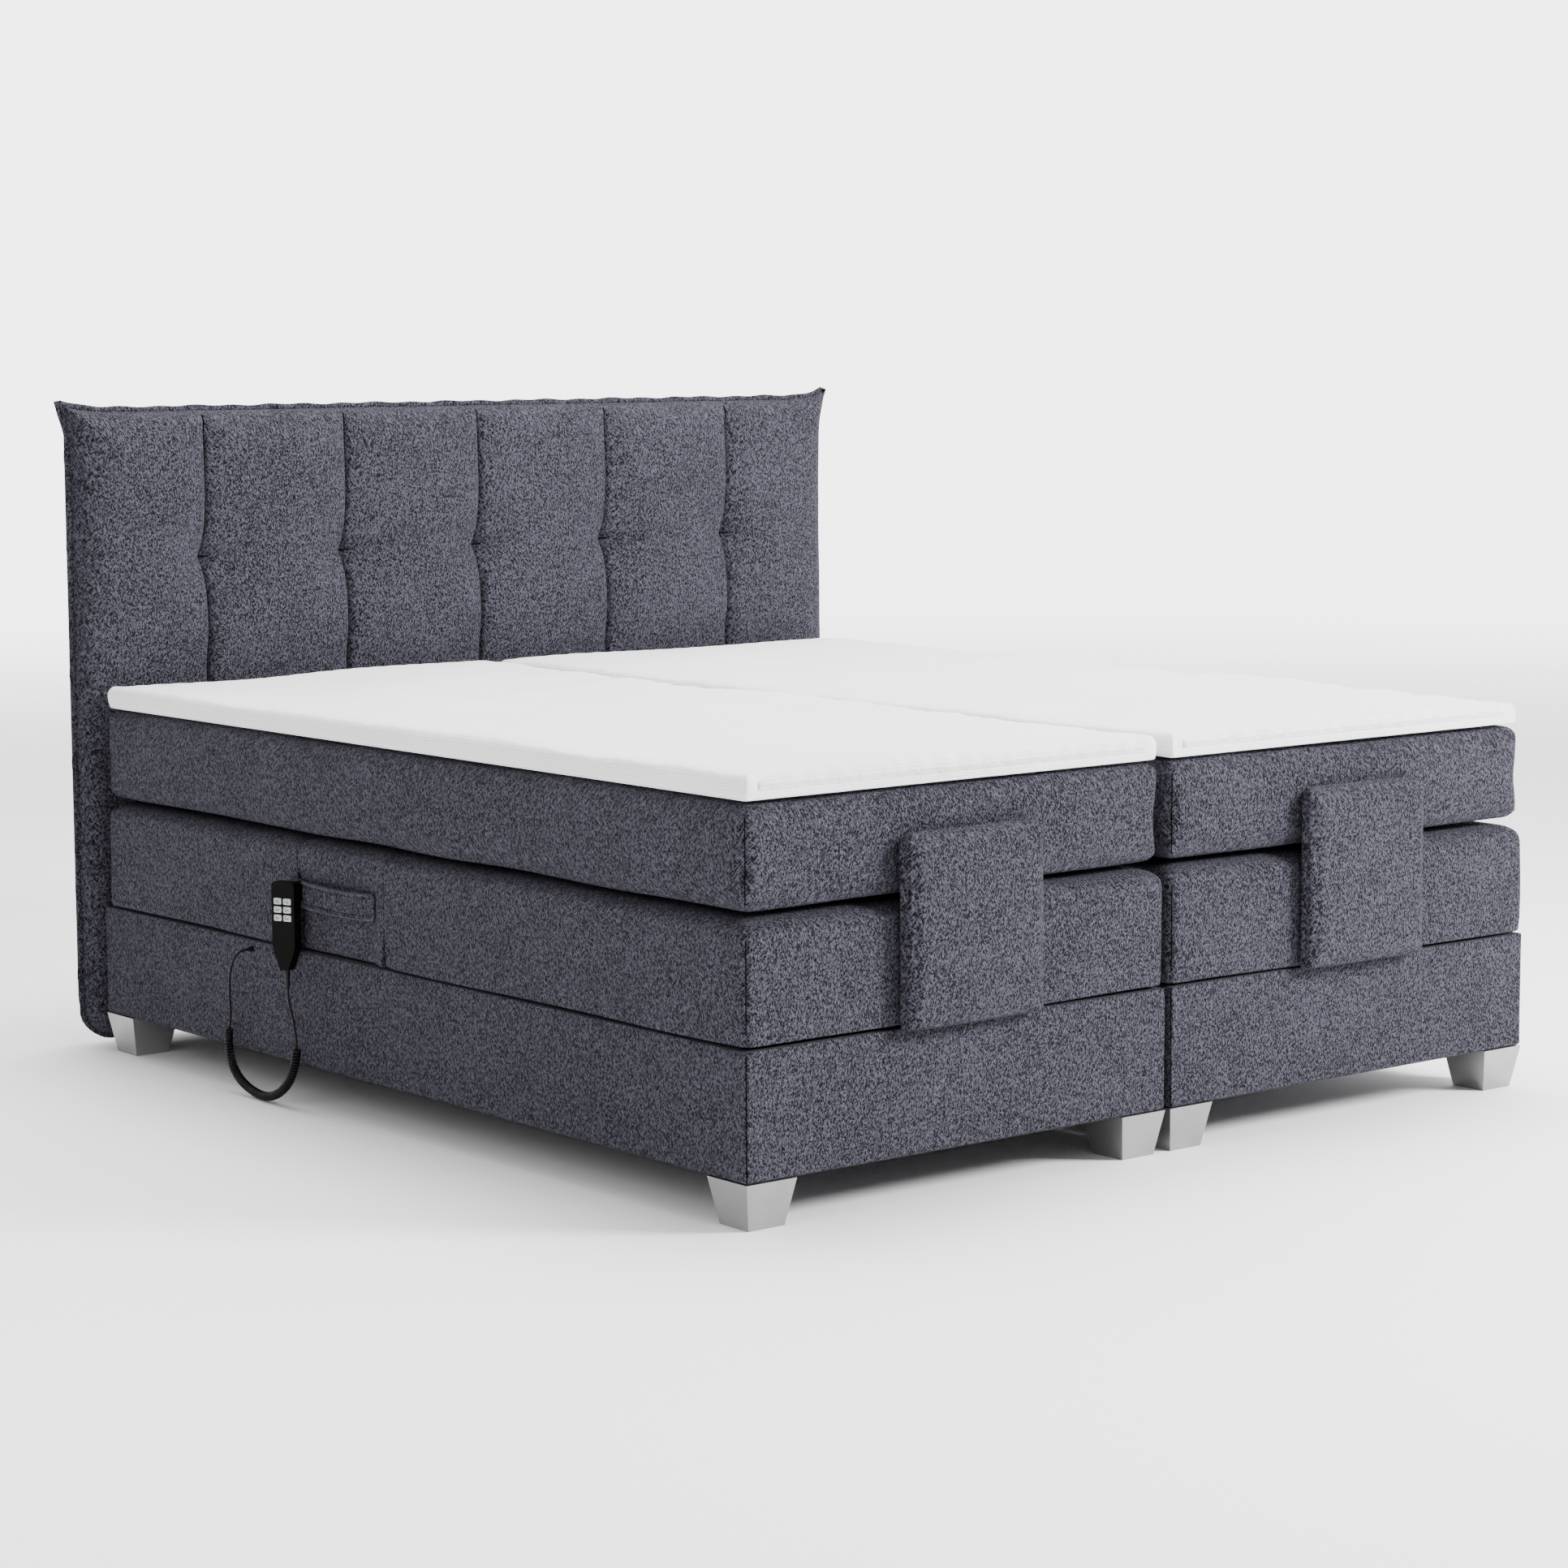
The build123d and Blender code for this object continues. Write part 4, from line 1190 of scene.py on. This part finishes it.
# %% Headboard rim flange
def outline_points(step=0.012):
    """Points round the rim, from the middle of the bottom edge and back to it."""
    heights = np.arange(head_low.z + BOTTOM_RADIUS, TOP_Z + EAR_UP, step)
    bottom = []
    for k in range(8):
        angle = math.pi / 2 * k / 8
        x = HALF_WIDTH - BOTTOM_RADIUS + BOTTOM_RADIUS * math.sin(angle)
        bottom.append((x, head_low.z + BOTTOM_RADIUS - BOTTOM_RADIUS * math.cos(angle)))
    right = [(float(side_reach(np.array([h]))[0]), float(h)) for h in heights]
    across = np.arange(EAR_REACH * 0.1, HALF_WIDTH + EAR_OUT, step)[::-1]
    top = [(float(a), float(top_reach(np.array([a]))[0])) for a in across if a < right[-1][0] - 0.004]
    half = bottom + right + top
    return half + [(-a, h) for a, h in reversed(half)]


FLANGE_IN, FLANGE_OUT = -0.008, 0.006
FLANGE_THICK = 0.0035
FLANGE_PROFILE = (
    (FLANGE_IN, -1),
    (FLANGE_OUT, -0.6),
    (FLANGE_OUT + 0.001, 0),
    (FLANGE_OUT, 0.6),
    (FLANGE_IN, 1),
)


def rim_flange():
    """A flat sewn edge round the rim, a little wavy, made as a closed ribbon."""
    outline = np.array(outline_points())
    nexts, backs = np.roll(outline, -1, axis=0), np.roll(outline, 1, axis=0)
    tangent = nexts - backs
    tangent /= np.linalg.norm(tangent, axis=1)[:, None]
    outward = np.stack([tangent[:, 1], -tangent[:, 0]], axis=1)
    points, faces = [], []
    count = len(outline)
    for k, ((x, z), (ox, oz)) in enumerate(zip(outline, outward)):
        wave = 0.0012 * math.sin(k * 0.9) + 0.0008 * math.sin(k * 0.37 + 1)
        for out, thick in FLANGE_PROFILE:
            reach = out + (wave if out > 0 else 0)
            points.append((x + ox * reach, RIM_Y + thick * FLANGE_THICK + wave, z + oz * reach))
    for k in range(count):
        n = (k + 1) % count
        for q in range(5):
            r = (q + 1) % 5
            faces.append((k * 5 + q, n * 5 + q, n * 5 + r, k * 5 + r))
    flange = mesh_piece("headboard_rim_flange", np.array(points), faces, UPHOLSTERY)
    recalculate_normals(flange)
    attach(flange, ROOT)
    print("rim flange goes round in", count, "steps")


rim_flange()

# %% [markdown]
# ## Seam threads
# A sewn seam shows as a row of short stitches lying in its groove. The thread is near black, darker
# than the cloth, so it also paints the groove's shade. One small Geometry Nodes tree makes every row:
# it walks along a line at a stitch's pitch and lays a thread there.


# %% Stitch rows
SPHERE_SEGMENTS, SPHERE_RINGS = 6, 4


def stitch_group():
    group = bpy.data.node_groups.new("stitch_row", "GeometryNodeTree")
    group.interface.new_socket("Line", in_out="INPUT", socket_type="NodeSocketGeometry")
    for name in ("Pitch", "Length", "Thickness"):
        group.interface.new_socket(name, in_out="INPUT", socket_type="NodeSocketFloat")
    group.interface.new_socket("Thread", in_out="INPUT", socket_type="NodeSocketMaterial")
    group.interface.new_socket("Stitches", in_out="OUTPUT", socket_type="NodeSocketGeometry")
    links = group.links
    source = add_node(group, "NodeGroupInput")
    sink = add_node(group, "NodeGroupOutput")
    curve = add_node(group, "GeometryNodeMeshToCurve")
    spaced = add_node(group, "GeometryNodeResampleCurve", mode="LENGTH")
    tangent = add_node(group, "GeometryNodeInputTangent")
    aligned = add_node(group, "FunctionNodeAlignRotationToVector", axis="Z")
    ball = {"Segments": SPHERE_SEGMENTS, "Rings": SPHERE_RINGS, "Radius": 0.5}
    stitch = add_node(group, "GeometryNodeMeshUVSphere", inputs=ball)
    size = add_node(group, "ShaderNodeCombineXYZ")
    laid = add_node(group, "GeometryNodeInstanceOnPoints")
    real = add_node(group, "GeometryNodeRealizeInstances")
    coloured = add_node(group, "GeometryNodeSetMaterial")
    links.new(source.outputs["Line"], curve.inputs["Mesh"])
    links.new(curve.outputs["Curve"], spaced.inputs["Curve"])
    links.new(source.outputs["Pitch"], spaced.inputs["Length"])
    links.new(tangent.outputs["Tangent"], aligned.inputs["Vector"])
    links.new(source.outputs["Thickness"], size.inputs["X"])
    links.new(source.outputs["Thickness"], size.inputs["Y"])
    links.new(source.outputs["Length"], size.inputs["Z"])
    links.new(spaced.outputs["Curve"], laid.inputs["Points"])
    links.new(stitch.outputs["Mesh"], laid.inputs["Instance"])
    links.new(aligned.outputs["Rotation"], laid.inputs["Rotation"])
    links.new(size.outputs["Vector"], laid.inputs["Scale"])
    links.new(laid.outputs["Instances"], real.inputs["Geometry"])
    links.new(real.outputs["Geometry"], coloured.inputs["Geometry"])
    links.new(source.outputs["Thread"], coloured.inputs["Material"])
    links.new(coloured.outputs["Geometry"], sink.inputs["Stitches"])
    return group


STITCHES = stitch_group()


def stitch_rows(name, lines, body, slot_name, thread, pitch, length, thickness):
    """Lays stitches along lines, each a list of points, and makes them one piece on a body."""
    points = [tuple(p) for line in lines for p in line]
    edges, start = [], 0
    for line in lines:
        edges += [(start + k, start + k + 1) for k in range(len(line) - 1)]
        start += len(line)
    mesh = bpy.data.meshes.new(name + "_line")
    mesh.from_pydata(points, edges, [])
    guide = new_object(name + "_line", mesh)
    nodes = guide.modifiers.new("stitches", "NODES")
    nodes.node_group = STITCHES
    values = {"Pitch": pitch, "Length": length, "Thickness": thickness, "Thread": thread}
    for socket in STITCHES.interface.items_tree:
        if socket.name in values:
            nodes[socket.identifier] = values[socket.name]
    shown = guide.evaluated_get(bpy.context.evaluated_depsgraph_get())
    stitched = bpy.data.meshes.new_from_object(shown)
    bpy.data.objects.remove(guide)
    bpy.data.meshes.remove(mesh)
    piece = new_object(name, stitched)
    stitched.polygons.foreach_set("use_smooth", [True] * len(stitched.polygons))
    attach(piece, body)
    print(name, "has", len(stitched.polygons) // (SPHERE_SEGMENTS * SPHERE_RINGS), "stitches")


def surface_tree(piece):
    points = [v.co.copy() for v in piece.data.vertices]
    return BVHTree.FromPolygons(points, [tuple(face.vertices) for face in piece.data.polygons])


# %% Headboard seam threads
SEAM_STITCH = {"pitch": 0.0062, "length": 0.0080}


def headboard_threads():
    tree = surface_tree(headboard_cover)
    lines = []
    for place in CHANNELS:
        line = []
        for z in np.arange(0.70, TOP_Z - 0.012, 0.006):
            x = place + float(seam_kink(np.array([z]))[0])
            hit = tree.ray_cast(Vector((x, -1, z)), Vector((0, 1, 0)))[0]
            line.append((x, hit.y - 0.0002, z))
        lines.append(line)
        fold = []
        for step in np.arange(0, 0.022, 0.003):
            x, z = place + float(seam_kink(np.array([TUFT_Z]))[0]) + step, TUFT_Z - 0.002 + 0.1 * step
            hit = tree.ray_cast(Vector((x, -1, z)), Vector((0, 1, 0)))[0]
            fold.append((x, hit.y + 0.0004, z))
        lines.append(fold)
    name = "headboard_seam_threads"
    # The near-black thread down each channel also paints the shade in the seam's groove.
    stitch_rows(name, lines, ROOT, "upholstery_fabric", THREAD_AND_GROOVE_SHADE, **SEAM_STITCH, thickness=0.0036)


headboard_threads()

# %% Corner seam threads
def corner_threads(piece_name, body, ends, margin=0.024):
    """Stitches down the upright corner seams of a stuffed block, at its foot (0) or head (1) end."""
    piece = bpy.data.objects[piece_name]
    tree, points = surface_tree(piece), get_points(piece)
    low, high = points.min(axis=0), points.max(axis=0)
    lines = []
    for end in ends:
        for x, outward_x in ((low[0], -1), (high[0], 1)):
            outward = Vector((outward_x, 1 if end else -1, 0)).normalized()
            corner = Vector((x, high[1] if end else low[1], 0))
            line = []
            for z in np.arange(low[2] + margin, high[2] - margin, 0.01):
                start = Vector((corner.x, corner.y, z)) + 0.1 * outward
                hit = tree.ray_cast(start, -outward)[0]
                line.append(hit + 0.0001 * outward)
            lines.append(line)
    name = f"{piece_name}_threads"
    # The near-black thread also paints the shade in the corner seam.
    stitch_rows(name, lines, body, "upholstery_fabric", THREAD_AND_GROOVE_SHADE, **SEAM_STITCH, thickness=0.0022)


for side in SIDES:
    corner_threads(f"{side}_mattress_foot", f"{side}_calf_section", (0,))
    corner_threads(f"{side}_mattress_head", f"{side}_back_section", (1,))
    corner_threads(f"{side}_leg_deck_cover", f"{side}_calf_section", (0,), 0.03)
    corner_threads(f"{side}_back_deck_cover", f"{side}_back_section", (1,), 0.03)
    corner_threads(f"{side}_lower_box_cover", ROOT, (0, 1), 0.008)


# %% Headboard lining staples
def lining_staples():
    """The lining on the headboard's rear is stapled to the panel all round, close to its edge."""
    low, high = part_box("headboard_panel")
    inset = 0.016
    x, bottom, top = high.x - inset, low.z + inset + 0.05, high.z - inset
    loop = [(-x, bottom), (x, bottom), (x, top), (-x, top), (-x, bottom)]
    line = []
    for (x0, z0), (x1, z1) in zip(loop, loop[1:]):
        for t in np.linspace(0.01, 0.99, 8):
            line.append((x0 + (x1 - x0) * t, high.y + 0.0001, z0 + (z1 - z0) * t))
    name = "headboard_lining_staples"
    stitch_rows(name, [line], ROOT, "zinc_steel", ZINC, pitch=0.045, length=0.010, thickness=0.0012)


lining_staples()

# %% [markdown]
# ## Handset strap
# The strap is a folded band of the same cloth, sewn down at both ends, with a row of stitches along
# each folded edge. A close welt of lighter pile along each folded edge paints its highlight. The
# handset's clip hooks over it. Behind it the seat's cover is pulled in.


# %% Strap
WELT_INSET, WELT_WIDTH = 0.004, 0.0026
SEAM_INSET, SEAM_GROOVE = 0.0095, 0.002
WELT_RISE = 0.0036
BOW_OUT, BOW_DOWN = 0.007, 0.004


def strap():
    low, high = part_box("handset_strap")
    radii = (0.0014, 0.004, 0.002), (0.0014, 0.004, 0.002)
    band = soft_block("handset_strap_band", low, high, 0.004, radii, UPHOLSTERY, plan=(1, 2), power=3.0)
    points = get_points(band)
    middle_z, half_z = (low.z + high.z) / 2, (high.z - low.z) / 2
    from_edge = half_z - np.abs(points[:, 2] - middle_z)
    welt = np.exp(-(((from_edge - WELT_INSET) / WELT_WIDTH) ** 2))
    groove = np.exp(-(((from_edge - SEAM_INSET) / SEAM_GROOVE) ** 2))
    share = (points[:, 1] - low.y) / (high.y - low.y)
    bow = np.clip(4 * share * (1 - share), 0, 1) ** 0.7
    points[:, 0] -= WELT_RISE * (welt - 0.5 * groove) + BOW_OUT * bow
    points[:, 2] -= BOW_DOWN * bow
    set_points(band, points)
    ripple(band, amount=0.0008, scale=22.0, seed=33)
    smoother(band)
    rigid_soft(band, ROOT, "handset_strap")
    tree = surface_tree(band)
    lines, welts = [], []
    for edge in (-1, 1):
        welts.append([])
        line = []
        for y in np.arange(low.y + 0.012, high.y - 0.008, 0.008):
            share = (y - low.y) / (high.y - low.y)
            z = middle_z + edge * (half_z - SEAM_INSET) - BOW_DOWN * (4 * share * (1 - share)) ** 0.7
            hit = tree.ray_cast(Vector((-2, y, z)), Vector((1, 0, 0)))[0]
            line.append((hit.x, y, z))
            z += edge * 0.006
            hit = tree.ray_cast(Vector((-2, y, z)), Vector((1, 0, 0)))[0]
            welts[-1].append((hit.x, y, z))
        lines.append(line)
    small = {"pitch": 0.0042, "length": 0.0034, "thickness": 0.0014}
    close = {"pitch": 0.002, "length": 0.0052, "thickness": 0.0038}
    # Close welt stitches of lighter pile along both folded edges: a painted highlight.
    stitch_rows("handset_strap_welts", welts, ROOT, "upholstery_fabric", WELT_HIGHLIGHT, **close)
    # Near-black threads in the strap's seam grooves, also painting their shade.
    stitch_rows("handset_strap_threads", lines, ROOT, "upholstery_fabric", THREAD_AND_GROOVE_SHADE, **small)


strap()

# %% [markdown]
# ## Button prints
# Each button carries a small printed sign: the bed's bent outline and an arrow. The left column
# raises and the right column lowers; the rows are the back, the legs and both together.

# %% Button signs
BUTTON_X = Vector((0.358, -0.934, 0)).normalized()
PRINT_LOW, PRINT_THICK = 0.00002, 0.00012
BAR_WIDTH = 1.4
MILLIMETRE = 0.001
BACK_LINE = [(-4.4, 1.6), (-0.4, -1.9), (4.4, -1.9)]
LEG_LINE = [(-4.4, -1.9), (-0.6, -1.9), (1.7, 0.8), (4.4, -0.9)]
BOTH_LINE = [(-4.4, 1.6), (-1.4, -1.9), (0.6, -1.9), (2.4, 0.8), (4.4, -0.9)]


def bar(a, b, width):
    """The corners of a flat bar between two points."""
    along = np.subtract(b, a)
    side = np.array((-along[1], along[0])) / np.hypot(*along) * width / 2
    return [np.add(a, side), np.subtract(a, side), np.subtract(b, side), np.add(b, side)]


def arrow(x, y, way):
    return [(x - 1.5, y), (x, y + 2.1 * way), (x + 1.5, y)][::way]


def button_print(number):
    name = f"button_{number}"
    button = frame["nodes"][f"handset_{name}"]
    press = next(j for j in frame["joints"] if j["name"] == f"{name}_press")
    normal = -Vector(press["axis"]).normalized()
    outer = max(v.co.dot(normal) for v in button.data.vertices)
    low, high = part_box(f"handset_{name}")
    centre = (low + high) / 2
    centre += normal * (outer - centre.dot(normal))
    line = (BACK_LINE, LEG_LINE, BOTH_LINE)[(number - 1) // 2]
    shapes = [bar(a, b, BAR_WIDTH) for a, b in zip(line, line[1:])]
    way = 1 if number % 2 else -1
    arrow_x = 2.2 if number < 3 else -2.4
    shapes.append(arrow(arrow_x, 0.9 if way > 0 else 3.0, way))
    points, faces = [], []
    for shape in shapes:
        start, count = len(points), len(shape)
        for height in (PRINT_LOW, PRINT_THICK):
            for x, y in shape:
                flat = BUTTON_X * (float(x) * MILLIMETRE) + Vector((0, 0, float(y) * MILLIMETRE))
                points.append(centre + flat + normal * height)
        lower, upper = list(range(start, start + count)), list(range(start + count, start + 2 * count))
        faces += [lower[::-1], upper]
        for k in range(count):
            n = (k + 1) % count
            faces.append((lower[k], lower[n], upper[n], upper[k]))
    sign = mesh_piece(f"{name}_print", points, faces, ICON_BLACK)
    sign.data.polygons.foreach_set("use_smooth", [False] * len(sign.data.polygons))
    recalculate_normals(sign)
    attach(sign, name)


for number in range(1, 7):
    button_print(number)
print(number, "button signs printed")

# %% [markdown]
# ## Topper zip
# The topper's cover opens at its foot end with a zip, so that it can be washed. The zip's tape lies
# along the border, and its teeth are two fine rows laid by the same stitch tree.


# %% Topper zips
ZIP_HEIGHTS = (-0.006, -0.0015, 0.0015, 0.006)
TAPE_RISE = 0.0006
ZIP_TOOTH = {"pitch": 0.0034, "length": 0.0024, "thickness": 0.0018}


def topper_zip(side):
    low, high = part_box(f"{side}_topper")
    middle_z = low.z + 0.55 * (high.z - low.z)
    tree = surface_tree(bpy.data.objects[f"{side}_topper_foot"])
    lines, points, faces = [[], []], [], []
    places = np.arange(low.x + 0.03, high.x - 0.029, 0.01)
    for x in places:
        droop = 0.0015 * noise.noise(Vector((x * 5, 2.0, 1.0)))
        hits = []
        for height in ZIP_HEIGHTS:
            z = middle_z + height + droop
            hit = tree.ray_cast(Vector((x, low.y - 1, z)), Vector((0, 1, 0)))[0]
            hits.append(Vector((x, hit.y - TAPE_RISE, z)))
        lines[0].append(hits[1])
        lines[1].append(hits[2])
        for hit in hits:
            points += [hit + Vector((0, -TAPE_RISE, 0)), hit + Vector((0, 0.002, 0))]
    ring = (0, 2, 4, 6, 7, 5, 3, 1)
    for k in range(len(places) - 1):
        for q in range(8):
            a, b = ring[q], ring[(q + 1) % 8]
            faces.append((8 * k + a, 8 * k + b, 8 * k + 8 + b, 8 * k + 8 + a))
    for end in (0, len(places) - 1):
        faces.append([8 * end + q for q in ring])
    tape = mesh_piece(f"{side}_topper_zip_tape", points, faces, JERSEY)
    recalculate_normals(tape)
    body = f"{side}_calf_section"
    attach(tape, body)
    lines = [[p - Vector((0, TAPE_RISE, 0)) for p in line] for line in lines]
    stitch_rows(f"{side}_topper_zip_teeth", lines, body, "topper_fabric", ZIP_WHITE, **ZIP_TOOTH)


for side in SIDES:
    topper_zip(side)

# %% [markdown]
# ## Floor
# A plain pale floor under the bed, so that its feet throw a soft shadow. A floor that simply ends
# shows an edge behind the bed, so this one fades out to the studio's own white far from it.

# %% Floor
FLOOR_SIZE = 34.0
FADE_START, FADE_END = 4.5, 13.0
FLOOR_DROP = 0.0005


def floor_finish():
    material, tree, shader = new_material("studio_floor", roughness=0.8)
    shader.inputs["Base Color"].default_value = (0.93, 0.93, 0.93, 1)
    place = add_node(tree, "ShaderNodeTexCoord")
    away = add_node(tree, "ShaderNodeVectorMath", operation="LENGTH")
    ends = {"From Min": FADE_START, "From Max": FADE_END}
    fade = add_node(tree, "ShaderNodeMapRange", interpolation_type="SMOOTHSTEP", inputs=ends)
    clear = add_node(tree, "ShaderNodeBsdfTransparent")
    blend = add_node(tree, "ShaderNodeMixShader")
    output = next(node for node in tree.nodes if node.type == "OUTPUT_MATERIAL")
    tree.links.new(place.outputs["Object"], away.inputs[0])
    tree.links.new(away.outputs["Value"], fade.inputs["Value"])
    tree.links.new(fade.outputs["Result"], blend.inputs["Fac"])
    tree.links.new(shader.outputs["BSDF"], blend.inputs[1])
    tree.links.new(clear.outputs["BSDF"], blend.inputs[2])
    tree.links.new(blend.outputs["Shader"], output.inputs["Surface"])
    return material


def studio_floor(size):
    half, level = size / 2, -FLOOR_DROP
    corners = [(-half, -half, level), (half, -half, level), (half, half, level), (-half, half, level)]
    mesh = bpy.data.meshes.new("studio_floor")
    mesh.from_pydata(corners, [], [(0, 1, 2, 3)])
    mesh.materials.append(floor_finish())
    floor = new_object("studio_floor", mesh)
    return floor


print(studio_floor(FLOOR_SIZE).name, "is", FLOOR_SIZE, "m wide")
